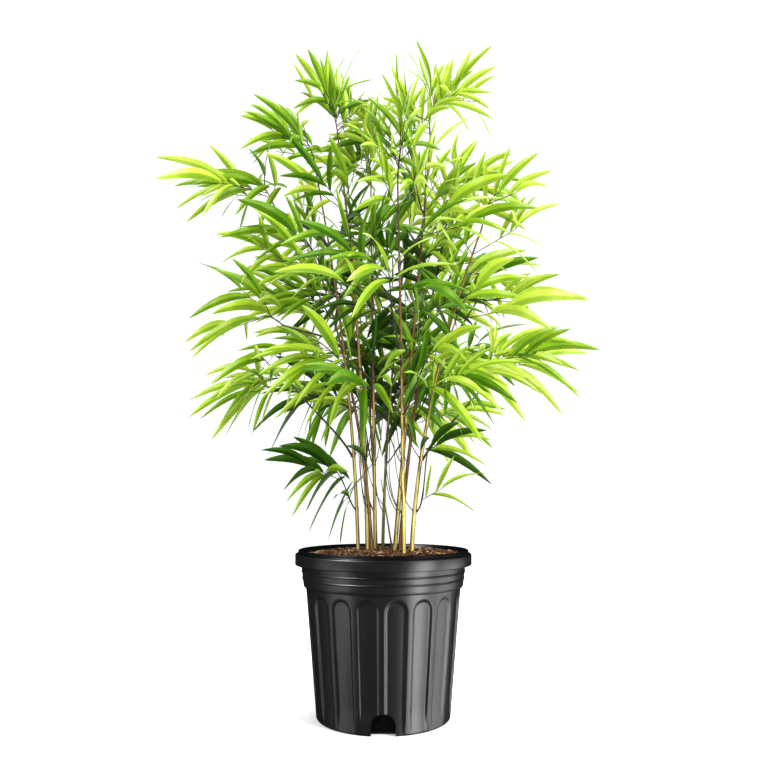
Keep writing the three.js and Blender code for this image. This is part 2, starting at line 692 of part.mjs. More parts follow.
function growMass(name, mass, seed) {
  const random = seeded(seed);
  const stem = STEMS[name];
  const scale = mass.from === undefined && mass.limb in CULMS ? CROWN_LEAF_SCALE : 1;
  const count = mass.twigs ?? TWIG_COUNT;
  const twigs = [];
  let leaves = growFan(name, STEM_LINES[name], mass.fan ?? FAN_LEAVES, scale, random);
  const firstHand = random() < 0.5 ? 1 : -1;
  for (let k = 0; k < count; k += 1) {
    const share = FIRST_TWIG_AT + ((LAST_TWIG_AT - FIRST_TWIG_AT) * (k + 0.5)) / count;
    const hand = k % 2 === 0 ? firstHand : -firstHand;
    const path = growTwig(name, stem, share, hand, scale, random);
    if (path !== null) {
      twigs.push(path);
      leaves = leaves.concat(growFan(name, path, TWIG_LEAVES, scale, random));
    }
  }
  return { stem, twigs, leaves };
}

function twigGeometry(path) {
  const heading = path[1].clone().sub(path[0]).normalize();
  return limb(path, [TWIG_RADIUS, TWIG_TIP_RADIUS], [heading, heading], TWIG_SIDES);
}

function massGeometry({ stem, twigs, leaves }) {
  const stemGeometry = limbAlong(
    stem.curve, stem.direction, STEM_STEPS, STEM_RADIUS, TWIG_TIP_RADIUS, TWIG_SIDES);
  const solids = [stemGeometry, ...twigs.map(twigGeometry)].map(toSolid);
  return toGeometry(largestBody(join([...solids, ...leaves.map(leafSolid)])));
}

// The plant in its pot

function addPiece(group, name, geometry, material) {
  const mesh = new THREE.Mesh(geometry, material);
  mesh.name = name;
  group.add(mesh);
}

function pottedBamboo() {
  const group = new THREE.Group();
  addPiece(group, 'pot', potGeometry(), FINISHES.pot());
  addPiece(group, 'soil', soilGeometry(), FINISHES.soil());
  for (const [name, culm] of Object.entries(CULMS)) {
    addPiece(group, name, culmGeometry(culm), FINISHES.culm());
  }
  for (const [name, bough] of Object.entries(BOUGHS)) {
    const { curve, direction } = boughPath(bough);
    const geometry = limbAlong(curve, direction, STEM_STEPS, BOUGH_RADIUS, BOUGH_TIP_RADIUS, BOUGH_SIDES);
    addPiece(group, name, geometry, FINISHES.bough());
  }
  Object.entries(MASSES).forEach(([name, mass], k) => {
    const geometry = massGeometry(growMass(name, mass, FIRST_SEED + SEED_STEP * k));
    addPiece(group, name, geometry, FINISHES.foliage());
  });
  return group;
}

export default pottedBamboo();
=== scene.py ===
"""A clump of bamboo in a black nursery pot: jointed culms, dark thin twigs, fans of long leaves, bark soil.

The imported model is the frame. Lengths are in millimetres, and a mesh is turned to metres when it is made.
"""

import math
from collections import namedtuple

import bmesh
import bpy
import numpy as np
from mathutils import Matrix, Vector


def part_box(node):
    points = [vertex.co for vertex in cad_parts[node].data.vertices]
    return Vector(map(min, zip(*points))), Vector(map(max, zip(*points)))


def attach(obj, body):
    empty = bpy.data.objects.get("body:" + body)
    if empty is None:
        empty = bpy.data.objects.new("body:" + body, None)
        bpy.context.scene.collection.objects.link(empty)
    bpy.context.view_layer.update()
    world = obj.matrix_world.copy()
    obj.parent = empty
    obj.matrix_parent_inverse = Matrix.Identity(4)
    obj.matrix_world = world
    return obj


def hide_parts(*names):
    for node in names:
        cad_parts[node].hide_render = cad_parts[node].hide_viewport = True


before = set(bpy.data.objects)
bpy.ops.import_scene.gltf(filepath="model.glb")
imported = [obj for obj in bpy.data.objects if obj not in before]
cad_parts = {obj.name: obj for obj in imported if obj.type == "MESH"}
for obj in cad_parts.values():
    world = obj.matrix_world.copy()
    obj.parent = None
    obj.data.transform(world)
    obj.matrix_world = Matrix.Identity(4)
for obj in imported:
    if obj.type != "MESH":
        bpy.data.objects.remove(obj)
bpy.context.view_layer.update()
MILLIMETRE = 0.001
UP = Vector((0, 0, 1))
ANY_TURN = 6.3  # a little over a full turn, in radians

# Pot, as in the solid: radii and heights of its bands
FOOT_RADIUS = 100.4
FOOT_ROUND = 2.5
FLOOR_RING = 60
BODY_TOP_RADIUS = 118.1
COLLAR_BOTTOM = 190
COLLAR_BOTTOM_RADIUS = 121.6
COLLAR_TOP_RADIUS = 125.6
COLLAR_LEDGE = ((-1.2, -0.4), (-0.2, 0.6))
COLLAR_ROWS = (194, 198)
RING_HEIGHTS = (202.4, 212.5)
RING_HALF_HEIGHT = 1.6
RING_PROUD = 1.1
RING_STEPS = 6
ROWS_OVER_RINGS = (216, 219, 221.4)
BAND_RADIUS = 135
BAND_BOTTOM = 222
BAND_TOP = 238.6
BAND_ROUNDS = (1.6, 2.2)
LIP_RADIUS = 130.5
LIP_TOP = 244
LIP_WIDTH = 4
LIP_ROUNDS = (1.4, 1.2)
WALL = 3.4
FLOOR = 3

# Pot, panels and drainage notches
PANEL_COUNT = 18
PANEL_ANGLE = math.radians(16.6)
PANEL_TURN = math.radians(9)
PANEL_SPRING = 166
PANEL_DEPTH = 2.9
PANEL_BORDER = 4.2
PANEL_FADE = 30
NOTCH_COUNT = 3
NOTCH_WIDTH = 34
NOTCH_HEIGHT = 30
NOTCH_DEPTH = 14
NOTCH_STEPS = 20
POT_SEGMENTS = 480
POT_ROW = 2.0
POT_CREASE = 38

# Soil; a set of waves is how many, their pace from side to side and their height
SOIL_TOP = 240
SOIL_EDGE = 236.5
SOIL_SETTLED = 1.2
SOIL_LEVEL_RADIUS = 92
SOIL_RADIUS = 121
SOIL_WALL_GAP = 0.4
SOIL_STEP = NOTCH_HEIGHT + 4
SOIL_SEGMENTS = 160
SOIL_RINGS = 48
SOIL_WAVES = ((14, (-0.9, 0.9), 0.22), (5, (-0.12, 0.12), 0.3))
SOIL_CREASE = 50
SOIL_SEED = 7

# Culms and boughs, as in the solids
GAP = 0.3
JOINT_GAP = 0.48
CULM_SIDES = 5
INTERNODE = 84
NODE_SWELL = 1.22
TIP_SHARE = 0.36
LOWEST_JOINT = 0.75
LAST_INTERNODE = 0.25
HANDLES = (0.33, 0.67)
HANDLE_LAGS = (0.25, 0.22)
BOUGH_RADIUS = 2
BOUGH_OUT = 0.12
BOUGH_RISE = 0.22
STEM_OUT = 0.2
STEM_RISE = 0.12
END_HANDLE = 0.35
STEM_STEPS = 4

# Side twigs, as in the solids
TWIG_LENGTH = 78
TWIG_LENGTHS = (0.7, 1.2)
FIRST_TWIG_AT = 0.25
LAST_TWIG_AT = 0.7
TWIG_ROLL = (0, 0.6)
TWIG_SPREAD = (0.6, 1.2)
TWIG_LIFT = (-0.2, 0.2)

# Leaves and their fans, as in the solids
LEAF_LENGTH = 122
LEAF_WIDTH = 26
LEAF_THICKNESS = 1.5
LEAF_WIDEST_AT = 0.38
LEAF_ARCH = 0.07
LEAF_DROOP = 0.2
TWIG_LEAVES = 4
LEAF_STEP = 10
FAN_ROLL = (0.45, 1.3)
END_LEAF_SPREAD = (-0.15, 0.15)
LEAF_SPREAD = (0.32, 0.5)
SPREAD_STEP = 0.13
LEAF_LIFT = (0.1, 0.2)
LIFT_STEP = 0.13
LEAF_TURN = (-0.3, 0.3)
LEAF_SIZES = (0.84, 1.1)
SIDE_LEAF_SCALE = 0.92
CROWN_LEAF_SCALE = 0.8
UPRIGHT_ROLL = 1.1
TRIES = 24
SHRINK = 0.985
SPACE_MARGIN = 0.6
LIMB_CLEARANCE = 1.5
CULM_TEST_STEPS = 12
BOUGH_TEST_STEPS = 6
FIRST_SEED = 101
SEED_STEP = 53

# Where each culm leaves the soil, where it ends, its foot radius, how late it leans (0 is straight), its kind
Culm = namedtuple("Culm", "foot tip radius bow kind")
CULMS = {
    "culm_left": Culm((-40, 31), (-112, -8, 858), 3.1, 1, "yellow_cane"),
    "culm_left_tall": Culm((-25, 33), (-76, 18, 918), 3.7, 1, "golden_cane"),
    "culm_left_brown": Culm((-18, 12), (-122, 88, 742), 3, 1, "brown_cane"),
    "culm_centre": Culm((-13, 46), (-22, 62, 870), 3.2, 0, "yellow_cane"),
    "culm_centre_back": Culm((-1, 64), (48, 132, 816), 2.8, 1, "olive_cane"),
    "culm_back": Culm((-12, 82), (-44, 158, 658), 2.6, 1, "olive_cane"),
    "culm_tall": Culm((18, 28), (78, 0, 908), 3.7, 0, "golden_cane"),
    "culm_right_brown": Culm((26, 38), (112, 62, 806), 3.3, 0.6, "brown_cane"),
    "culm_front": Culm((31, -27), (22, -92, 790), 3.4, 0.8, "yellow_cane"),
    "culm_right": Culm((44, 7), (158, -22, 750), 3.6, 1, "golden_cane"),
    "young_shoot": Culm((14, 56), (-4, 40, 352), 1.7, 0, "olive_cane"),
}

# Long branches: the culm, the height of the joint it leaves, and the far end
BOUGHS = {
    "bough_left_high": ("culm_left", 690, (-176, -14, 790)),
    "bough_left_middle": ("culm_left", 545, (-158, -34, 590)),
    "bough_left_low": ("culm_left", 400, (-134, -18, 486)),
    "bough_right_middle": ("culm_right", 545, (150, -8, 634)),
    "bough_right_low": ("culm_right", 400, (150, 4, 486)),
    "bough_front_middle": ("culm_front", 510, (12, -142, 590)),
    "bough_back_middle": ("culm_centre_back", 480, (40, 166, 566)),
}

# Foliage masses: the limb, the height of the joint it leaves or None for the limb's end, the far end of
# the stem, its tilt above the level in degrees, the leaves of its end fan and the number of side twigs
MASSES = {"foliage_" + place: mass for place, mass in {
    "top_left": ("culm_left_tall", None, (-86, 8, 978), 74, 7, 3),
    "top_left_outer": ("culm_left", None, (-142, -20, 915), 18, 6, 3),
    "top_centre": ("culm_centre", None, (-29, 72, 928), 72, 6, 3),
    "top_right": ("culm_tall", None, (90, -9, 978), 22, 7, 3),
    "upper_right": ("culm_right_brown", None, (130, 63, 875), 52, 6, 3),
    "high_left": ("bough_left_high", None, (-203, -28, 821), -44, 6, 3),
    "high_front": ("culm_front", None, (32, -119, 856), 7, 6, 3),
    "high_right": ("culm_right", None, (185, -39, 805), 15, 6, 3),
    "high_back": ("culm_centre_back", None, (59, 154, 867), 52, 6, 2),
    "high_left_back": ("culm_left_brown", None, (-149, 99, 784), 42, 6, 3),
    "inner_top": ("culm_tall", 800, (35, -41, 876), 25, 6, 2),
    "inner_left": ("culm_left_tall", 730, (-55, -71, 807), 18, 6, 1),
    "inner_centre": ("culm_centre", 720, (-23, 98, 783), 18, 5, 1),
    "inner_right": ("culm_right_brown", 690, (111, -50, 789), 22, 5, 2),
    "upper_left": ("culm_left", 625, (-134, -63, 718), -28, 5, 3),
    "outer_left": ("culm_left_brown", 610, (-133, 49, 677), -2, 5, 3),
    "upper_front_left": ("culm_front", 630, (-64, -138, 704), 0, 5, 3),
    "upper_front_right": ("culm_front", 680, (88, -138, 732), -10, 5, 3),
    "upper_right_outer": ("culm_right_brown", 610, (146, 40, 716), -8, 5, 3),
    "upper_back_left": ("culm_back", None, (-94, 186, 709), -8, 5, 2),
    "upper_back_right": ("culm_centre_back", 640, (118, 154, 711), -5, 5, 2),
    "middle_left": ("bough_left_middle", None, (-193, -49, 597), -56, 6, 3),
    "middle_front": ("bough_front_middle", None, (6, -193, 630), -8, 5, 3),
    "middle_front_right": ("culm_right", 560, (136, -112, 625), -14, 5, 3),
    "middle_right": ("bough_right_middle", None, (176, 8, 632), -22, 6, 3),
    "middle_back": ("bough_back_middle", None, (30, 224, 596), -30, 5, 2),
    "middle_back_left": ("culm_left_brown", 520, (-144, 123, 591), -28, 5, 2),
    "middle_back_right": ("culm_right_brown", 480, (134, 129, 568), -35, 5, 3),
    "low_left": ("bough_left_low", None, (-180, -30, 502), -42, 6, 3),
    "low_front_left": ("culm_front", 420, (-82, -110, 527), -19, 5, 2),
    "low_front_right": ("culm_front", 430, (84, -118, 536), -15, 5, 2),
    "low_right": ("bough_right_low", None, (188, 8, 552), -2, 6, 3),
    "low_inner_right": ("culm_right", 470, (119, -56, 507), -40, 5, 1),
    "low_back": ("culm_back", 400, (-53, 185, 511), -44, 5, 2),
    "low_back_right": ("culm_centre_back", 400, (91, 166, 465), -24, 5, 2),
    "low_inner_left": ("culm_left", 480, (-138, 54, 482), -25, 5, 2),
    "lowest_left": ("culm_left", 320, (-84, -22, 368), -6, 7, 2),
    "lowest_right": ("culm_right", 320, (82, -19, 402), -43, 4, 0),
}.items()}

# Finer growth that the solids leave out: shares of the stem and of a twig that a fine twig leaves from.
# A fan is its number of leaves and their scale
FINE_STEM_SHARES = (0.2, 0.32, 0.44, 0.56, 0.68, 0.8, 0.92)
FINE_TWIG_SHARES = (0.2, 0.4, 0.6, 0.8)
FINE_TWIG_LENGTH = 50
FINE_FAN = (4, 0.74)
REACH_MARGIN = 8
# Leafy twigs straight from the joints of a culm, between two heights
JOINT_TWIG_HEIGHTS = (430, 800)
JOINT_TWIGS = 2
JOINT_TWIG_LIFT = (0.2, 0.9)
BARE_FRONT_TOP = 680
JOINT_TWIG_LENGTH = 62
JOINT_FAN = (5, 0.8)
# Thin leafless twigs beside the foot of each culm
WIRY_TWIG_TOP = 420
WIRY_TWIG_LENGTHS = (90, 200)
WIRY_TWIG_LEAN = (0.08, 0.3)
WIRY_TWIG_ROOT = 0.6
WIRY_TWIG_HANDLES = (0.2, 0.2)
WIRY_TWIG_STEPS = 10
# The crown is full round its middle and thins out towards its edge: the share of fine twigs that grow
CROWN_MIDDLE = Vector((0, 30, 600))
CROWN_REACH = Vector((260, 240, 420))
FULLNESS = (0.66, -0.12)
BARE_BELOW = 270
FILLING_HEIGHT = 190
CROWN_TOP = (840, 960)
TOP_FULLNESS = 0.22
# What the seeds of the finer growth add to the mass's or the culm's own
FINE_TWIGS, JOINT_SPRAYS, MASS_BLADES, JOINT_BLADES, WIRY_TWIGS = 17, 29, 31, 37, 41


# Growth: the rule of the solids, and the finer twigs it is carried to

Leaf = namedtuple("Leaf", "root heading face length width")
Spray = namedtuple("Spray", "path leaves")


def seeded(seed):
    """A seeded stream of numbers from 0 to 1, the same for a given seed."""
    state = [seed]

    def draw():
        state[0] = (state[0] * 1664525 + 1013904223) % 4294967296
        return state[0] / 4294967296
    return draw


def own_draw(number, growth=0):
    return seeded(FIRST_SEED + SEED_STEP * number + growth)


def between(draw, limits):
    low, high = limits
    return low + (high - low) * draw()


def turned(vector, axis, angle):
    return Matrix.Rotation(angle, 3, axis) @ vector


def round_angles(count):
    return [2 * math.pi * k / count for k in range(count)]


def polar(radius, angle, height=0):
    return radius * math.cos(angle), radius * math.sin(angle), height


def side_of(direction):
    side = direction.cross(UP)
    return side.normalized() if side.length_squared >= 1e-6 else Vector((1, 0, 0))


def curve_point(curve, share):
    start, first, second, end = curve
    rest = 1 - share
    return (start * rest ** 3 + first * (3 * share * rest ** 2)
            + second * (3 * share ** 2 * rest) + end * share ** 3)


def curve_tangent(curve, share):
    step = 1e-4
    return (curve_point(curve, min(1, share + step)) - curve_point(curve, max(0, share - step))).normalized()


def curve_points(curve, steps):
    return [curve_point(curve, k / steps) for k in range(steps + 1)]


def culm_curve(culm):
    start = Vector((*culm.foot, SOIL_TOP + GAP))
    reach = Vector(culm.tip) - start
    leans = [rise - lag * culm.bow for rise, lag in zip(HANDLES, HANDLE_LAGS)]
    low, high = (start + Vector((lean * reach.x, lean * reach.y, rise * reach.z))
                 for lean, rise in zip(leans, HANDLES))
    return start, low, high, start + reach


def culm_radius(culm, share):
    return culm.radius * (1 - (1 - TIP_SHARE) * share)


def joint_shares(culm):
    """The joints of a culm as shares of its length."""
    count = max(1, round((culm.tip[2] - SOIL_TOP) / INTERNODE))
    return [(k + LOWEST_JOINT) / (count + LAST_INTERNODE) for k in range(count)]


def joints_of(culm):
    """The middle of each joint of a culm, from the lowest up, and the culm's radius there."""
    curve = culm_curve(culm)
    return [(curve_point(curve, share), culm_radius(culm, share)) for share in joint_shares(culm)]


def leave_culm(culm, height, far):
    """Where a branch leaves the joint nearest to a height, just clear of the solid's faceted side."""
    curve = culm_curve(culm)
    share = min(joint_shares(culm), key=lambda s: abs(curve_point(curve, s).z - height))
    centre, tangent = curve_point(curve, share), curve_tangent(curve, share)
    outward = Vector((far.x - centre.x, far.y - centre.y, 0)).normalized()
    side = side_of(tangent)
    across = side.cross(tangent)
    widest = max((side * math.cos(a) - across * math.sin(a)).dot(outward) for a in round_angles(CULM_SIDES))
    return centre + outward * (widest * NODE_SWELL * culm_radius(culm, share) + JOINT_GAP), outward


def branch_curve(start, direction, end, end_direction, out, rise):
    """A curve that sets off along its direction while it rises, and ends along its end direction."""
    reach = (end - start).length
    return (start, start + direction * (reach * out) + UP * (reach * rise),
            end - end_direction * (reach * END_HANDLE), end)


def bough_curve(bough):
    culm, height, far = bough
    end = Vector(far)
    start, direction = leave_culm(CULMS[culm], height, end)
    return branch_curve(start, direction, end, (end - start).normalized(), BOUGH_OUT, BOUGH_RISE)


def leave_end(curve):
    direction = curve_tangent(curve, 1)
    return curve[3] + direction * GAP, direction


def stem_curve(mass):
    limb, height, far, tilt = mass[:4]
    end = Vector(far)
    if limb in BOUGHS:
        start, direction = leave_end(bough_curve(BOUGHS[limb]))
    elif height is None:
        start, direction = leave_end(culm_curve(CULMS[limb]))
    else:
        start, direction = leave_culm(CULMS[limb], height, end)
    tilt = math.radians(tilt)
    level = Vector((end.x - start.x, end.y - start.y, 0)).normalized()
    return branch_curve(start, direction, end, level * math.cos(tilt) + UP * math.sin(tilt),
                        STEM_OUT, STEM_RISE)


STEMS = {name: stem_curve(mass) for name, mass in MASSES.items()}
STEM_LINES = {name: curve_points(curve, STEM_STEPS) for name, curve in STEMS.items()}
LIMB_LINES = (
    [(curve_points(culm_curve(c), CULM_TEST_STEPS), NODE_SWELL * c.radius) for c in CULMS.values()]
    + [(curve_points(bough_curve(b), BOUGH_TEST_STEPS), BOUGH_RADIUS) for b in BOUGHS.values()])


class Lines:
    """Straight legs to measure distances to, each with the number of the path it belongs to."""

    def __init__(self, paths):
        legs = [(a, b, k) for k, path in enumerate(paths) for a, b in zip(path, path[1:])]
        self.start = np.array([leg[0] for leg in legs])
        self.leg = np.array([leg[1] for leg in legs]) - self.start
        self.path = np.array([leg[2] for leg in legs])
        self.square = (self.leg ** 2).sum(1)

    def distances(self, points):
        """The distance of each point to each leg."""
        off = points[:, None] - self.start[None]
        along = np.clip((off * self.leg).sum(2) / self.square, 0, 1)
        return np.linalg.norm(off - along[..., None] * self.leg, axis=2)


STEM_LEGS = Lines(STEM_LINES.values())
LIMB_LEGS = Lines([path for path, _ in LIMB_LINES])
LIMB_ROOM = np.array([LIMB_LINES[k][1] + LIMB_CLEARANCE for k in LIMB_LEGS.path])


def clear_of_limbs(points):
    return bool((LIMB_LEGS.distances(np.array(points)) > LIMB_ROOM).all())


def fits(number, points):
    """True where all the points are nearer to this mass's stem than to any other, and clear of the limbs."""
    points = np.array(points)
    away = STEM_LEGS.distances(points)
    own = STEM_LEGS.path == number
    in_own_space = (away[:, ~own].min(1) > away[:, own].min(1) + 2 * SPACE_MARGIN).all()
    return bool(in_own_space) and clear_of_limbs(points)


def leaf_samples(leaf):
    """Points spread over a leaf, from a little way past its root, to test the room it needs."""
    root, heading, face, length, width = leaf
    side = heading.cross(face).normalized()
    middle = root + heading * (LEAF_WIDEST_AT * length) + face * (LEAF_ARCH * length)
    tip = leaf_tip(leaf)
    corners = [middle - side * (width / 2), middle + side * (width / 2), middle - face * LEAF_THICKNESS]
    samples = [root.lerp(corner, share) for share in (0.35, 0.7, 1) for corner in corners]
    return samples + [corner.lerp(tip, share) for share in (0.25, 0.5, 0.75, 1) for corner in corners]


def leaf_tip(leaf):
    level = math.hypot(leaf.heading.x, leaf.heading.y)
    return leaf.root + leaf.heading * leaf.length - UP * (LEAF_DROOP * level * leaf.length)


def spread_face(direction, rolls, draw):
    """The upper face of the plane that a shoot spreads in, rolled to one hand about the shoot."""
    hand = -1 if draw() < 0.5 else 1
    upright = UPRIGHT_ROLL * max(0, direction.z) ** 2
    roll = hand * (between(draw, rolls) + upright)
    return turned(side_of(direction).cross(direction), direction, roll)


def grow_fan(path, count, scale, draw, allowed):
    """Leaves on the last part of a twig: the first at its tip, the others behind it to either side."""
    tip = path[-1]
    direction = (tip - path[-2]).normalized()
    face = spread_face(direction, FAN_ROLL, draw)
    leaves = []
    for k in range(count):
        hand = 1 if k % 2 == 0 else -1
        root = tip + direction * (-1 - LEAF_STEP * k)
        for attempt in range(TRIES):
            spread = between(draw, END_LEAF_SPREAD) if k == 0 else hand * (
                between(draw, LEAF_SPREAD) + SPREAD_STEP * k)
            lift = between(draw, LEAF_LIFT) - LIFT_STEP * k
            turn = between(draw, LEAF_TURN)
            size = scale * (1 if k == 0 else SIDE_LEAF_SCALE) * between(draw, LEAF_SIZES) * SHRINK ** attempt
            heading = (turned(direction, face, spread) + face * lift).normalized()
            upper = heading.cross(face).normalized().cross(heading)
            leaf = Leaf(root, heading, turned(upper, heading, turn), size * LEAF_LENGTH, size * LEAF_WIDTH)
            if allowed(leaf_samples(leaf)):
                leaves.append(leaf)
                break
    return leaves


def grow_twig(start, along, hand, length, draw, allowed):
    """A side twig that leaves its host to one hand, as the two ends of a straight line."""
    for _ in range(TRIES):
        face = spread_face(along, TWIG_ROLL, draw)
        spread = hand * between(draw, TWIG_SPREAD)
        lift = between(draw, TWIG_LIFT)
        reach = length * between(draw, TWIG_LENGTHS)
        heading = (turned(along, face, spread) + UP * lift).normalized()
        if allowed([start + heading * (reach / 2), start + heading * reach]):
            return [start, start + heading * reach]
    return None


def grow_mass(name, number):
    """The solid's own sprays, the stem's first."""
    draw = own_draw(number)
    limb, height, _, _, fan, count = MASSES[name]
    curve = STEMS[name]
    scale = CROWN_LEAF_SCALE if height is None and limb in CULMS else 1

    def allowed(points):
        return fits(number, points)

    sprays = [Spray(STEM_LINES[name], grow_fan(STEM_LINES[name], fan, scale, draw, allowed))]
    first_hand = 1 if draw() < 0.5 else -1
    for k in range(count):
        share = FIRST_TWIG_AT + (LAST_TWIG_AT - FIRST_TWIG_AT) * (k + 0.5) / count
        hand = first_hand if k % 2 == 0 else -first_hand
        path = grow_twig(curve_point(curve, share), curve_tangent(curve, share), hand,
                         scale * TWIG_LENGTH, draw, allowed)
        if path is not None:
            sprays.append(Spray(path, grow_fan(path, TWIG_LEAVES, scale, draw, allowed)))
    return sprays


def fullness(place):
    """The share of fine twigs that grow at a place: most in the middle and at the top, fewer low down."""
    off = place - CROWN_MIDDLE
    aside = math.hypot(off.x / CROWN_REACH.x, off.y / CROWN_REACH.y)
    share = FULLNESS[0] + (FULLNESS[1] - FULLNESS[0]) * aside
    share += TOP_FULLNESS * min(1, max(0, (place.z - CROWN_TOP[0]) / (CROWN_TOP[1] - CROWN_TOP[0])))
    return share * min(1, (place.z - BARE_BELOW) / FILLING_HEIGHT)


def grow_finer(name, number, sprays):
    """Fine twigs with small leaves that fill the sprays, kept inside the reach of the solid."""
    draw = own_draw(number, FINE_TWIGS)
    low, high = (np.array(corner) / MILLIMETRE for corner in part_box(name))
    low, high = low - REACH_MARGIN, high + REACH_MARGIN

    def allowed(points):
        points = np.array(points)
        return bool((points > low).all() and (points < high).all()) and clear_of_limbs(points)

    hosts = [(curve_point(STEMS[name], s), curve_tangent(STEMS[name], s)) for s in FINE_STEM_SHARES]
    for spray in sprays[1:]:
        start, end = spray.path
        hosts += [(start.lerp(end, s), (end - start).normalized()) for s in FINE_TWIG_SHARES]
    finer = []
    for k, (start, along) in enumerate(hosts):
        if draw() > fullness(start):
            continue
        path = grow_twig(start, along, 1 if k % 2 == 0 else -1, FINE_TWIG_LENGTH, draw, allowed)
        if path is not None:
            leaves = grow_fan(path, *FINE_FAN, draw, allowed)
            if leaves:
                finer.append(Spray(path, leaves))
    return finer


def grow_joint_sprays(culm, number):
    """Short leafy twigs from the joints of a culm, which fill the middle of the clump."""
    draw = own_draw(number, JOINT_SPRAYS)
    sprays = []
    for centre, radius in joints_of(culm):
        if not JOINT_TWIG_HEIGHTS[0] < centre.z < JOINT_TWIG_HEIGHTS[1]:
            continue
        for _ in range(JOINT_TWIGS):
            # Low down, only behind the culms, which stay in sight from the front
            outward = Vector(polar(1, (2 if centre.z > BARE_FRONT_TOP else 1) * math.pi * draw()))
            start = centre + outward * radius
            heading = outward + UP * between(draw, JOINT_TWIG_LIFT)
            path = [start, start + heading * (JOINT_TWIG_LENGTH * between(draw, TWIG_LENGTHS))]
            leaves = grow_fan(path, *JOINT_FAN, draw, clear_of_limbs)
            if leaves:
                sprays.append(Spray(path, leaves))
    return sprays


def grow_wiry_twigs(culm, number):
    """Thin leafless twigs that rise steeply from the lowest joints of a culm, close beside it."""
    draw = own_draw(number, WIRY_TWIGS)
    twigs = []
    for centre, radius in joints_of(culm):
        if centre.z > WIRY_TWIG_TOP:
            break
        outward = Vector(polar(1, 2 * math.pi * draw()))
        start = centre + outward * (WIRY_TWIG_ROOT * radius)
        reach = between(draw, WIRY_TWIG_LENGTHS)
        end = start + outward * (reach * between(draw, WIRY_TWIG_LEAN)) + UP * reach
        twigs.append(curve_points(branch_curve(start, outward, end, UP, *WIRY_TWIG_HANDLES), WIRY_TWIG_STEPS))
    return twigs


# Materials; a pattern's scale is how many times it repeats in a metre

def linear(hex_colour):
    """An sRGB hex colour as linear RGBA."""
    channels = [int(hex_colour[k:k + 2], 16) / 255 for k in (1, 3, 5)]
    return (*[c / 12.92 if c <= 0.04045 else ((c + 0.055) / 1.055) ** 2.4 for c in channels], 1)


def add(tree, kind, stops=(), **given):
    """Adds a node with its settings, its inputs, and the stops of a ramp as places and hex colours.

    An input is named with _ for a space, or numbered, as i0. It takes a value, a socket, or a node, which
    stands for its first output.
    """
    node = tree.nodes.new("ShaderNode" + kind)
    for name, value in given.items():
        if name in node.bl_rna.properties:
            setattr(node, name, value)
            continue
        socket = node.inputs[int(name[1:]) if name[1:].isdigit() else name.replace("_", " ")]
        if isinstance(value, bpy.types.Node):
            value = value.outputs[0]
        if isinstance(value, bpy.types.NodeSocket):
            tree.links.new(value, socket)
        else:
            socket.default_value = value
    if stops:
        elements = node.color_ramp.elements
        while len(elements) < len(stops):
            elements.new(0.5)
        for element, (place, colour) in zip(elements, stops):
            element.position = place
            element.color = linear(colour)
    return node


def new_material(name):
    """A material without nodes, its tree, and the place on the object that its patterns follow."""
    material = bpy.data.materials.new(name)
    material.use_nodes = True
    tree = material.node_tree
    tree.nodes.clear()
    return material, tree, add(tree, "TexCoord").outputs["Object"]


def finished(material, surface):
    add(material.node_tree, "OutputMaterial", Surface=surface)
    return material


def moulded_polypropylene():
    """Black polypropylene, injection moulded: a matt black body with a little potting dust and a satin sheen.

    The fine eggshell grain keeps the sheen thin at a slant too, so it is mixed in as one even share.
    """
    material, tree, place = new_material("moulded_black_polypropylene")
    # Dust in patches of 40 mm, grain of 0.1 mm drawn as 1 mm so that it shows, and flow marks 4 mm wide
    dust = add(tree, "TexNoise", Vector=place, Scale=26, Detail=6, Roughness=0.62)
    grain = add(tree, "TexNoise", Vector=place, Scale=900, Detail=2)
    flow = add(tree, "Mapping", Vector=place, Scale=(60, 60, 5))
    marks = add(tree, "TexNoise", Vector=flow, Scale=4, Detail=4)
    colour = add(tree, "ValToRGB", Fac=dust, stops=[(0.3, "#040505"), (0.62, "#060707"), (0.85, "#10110f")])
    gloss = add(tree, "MapRange", Value=marks, To_Min=0.3, To_Max=0.38)
    # The lip gets less sheen than the wall, a painted shade that keeps it blacker
    height = add(tree, "SeparateXYZ", Vector=place).outputs["Z"]
    sheen = add(tree, "MapRange", Value=height, From_Min=BAND_TOP * MILLIMETRE - 0.0004,
                From_Max=BAND_TOP * MILLIMETRE + 0.0004, To_Min=0.0042, To_Max=0.001)
    bump = add(tree, "Bump", Strength=0.12, Distance=0.0004, Height=grain)
    body = add(tree, "BsdfPrincipled", Base_Color=colour, Roughness=gloss, Normal=bump, IOR=1.49,
               Specular_IOR_Level=0.0)
    satin = add(tree, "BsdfAnisotropic", Roughness=gloss, Normal=bump)
    return finished(material, add(tree, "MixShader", Fac=sheen, i1=body, i2=satin))


def composted_bark(name, dark, middle, light):
    """Composted bark and coir: matt, fibrous, damp brown that varies from crumb to crumb, 4 mm across."""
    material, tree, place = new_material(name)
    crumbs = add(tree, "TexNoise", Vector=place, Scale=260, Detail=5, Roughness=0.7)
    colour = add(tree, "ValToRGB", Fac=crumbs, stops=[(0.32, dark), (0.52, middle), (0.72, light)])
    bump = add(tree, "Bump", Strength=0.7, Distance=0.001, Height=crumbs)
    return finished(material, add(tree, "BsdfPrincipled", Base_Color=colour, Roughness=0.92, Normal=bump,
                                  IOR=1.4, Specular_IOR_Level=0.1))


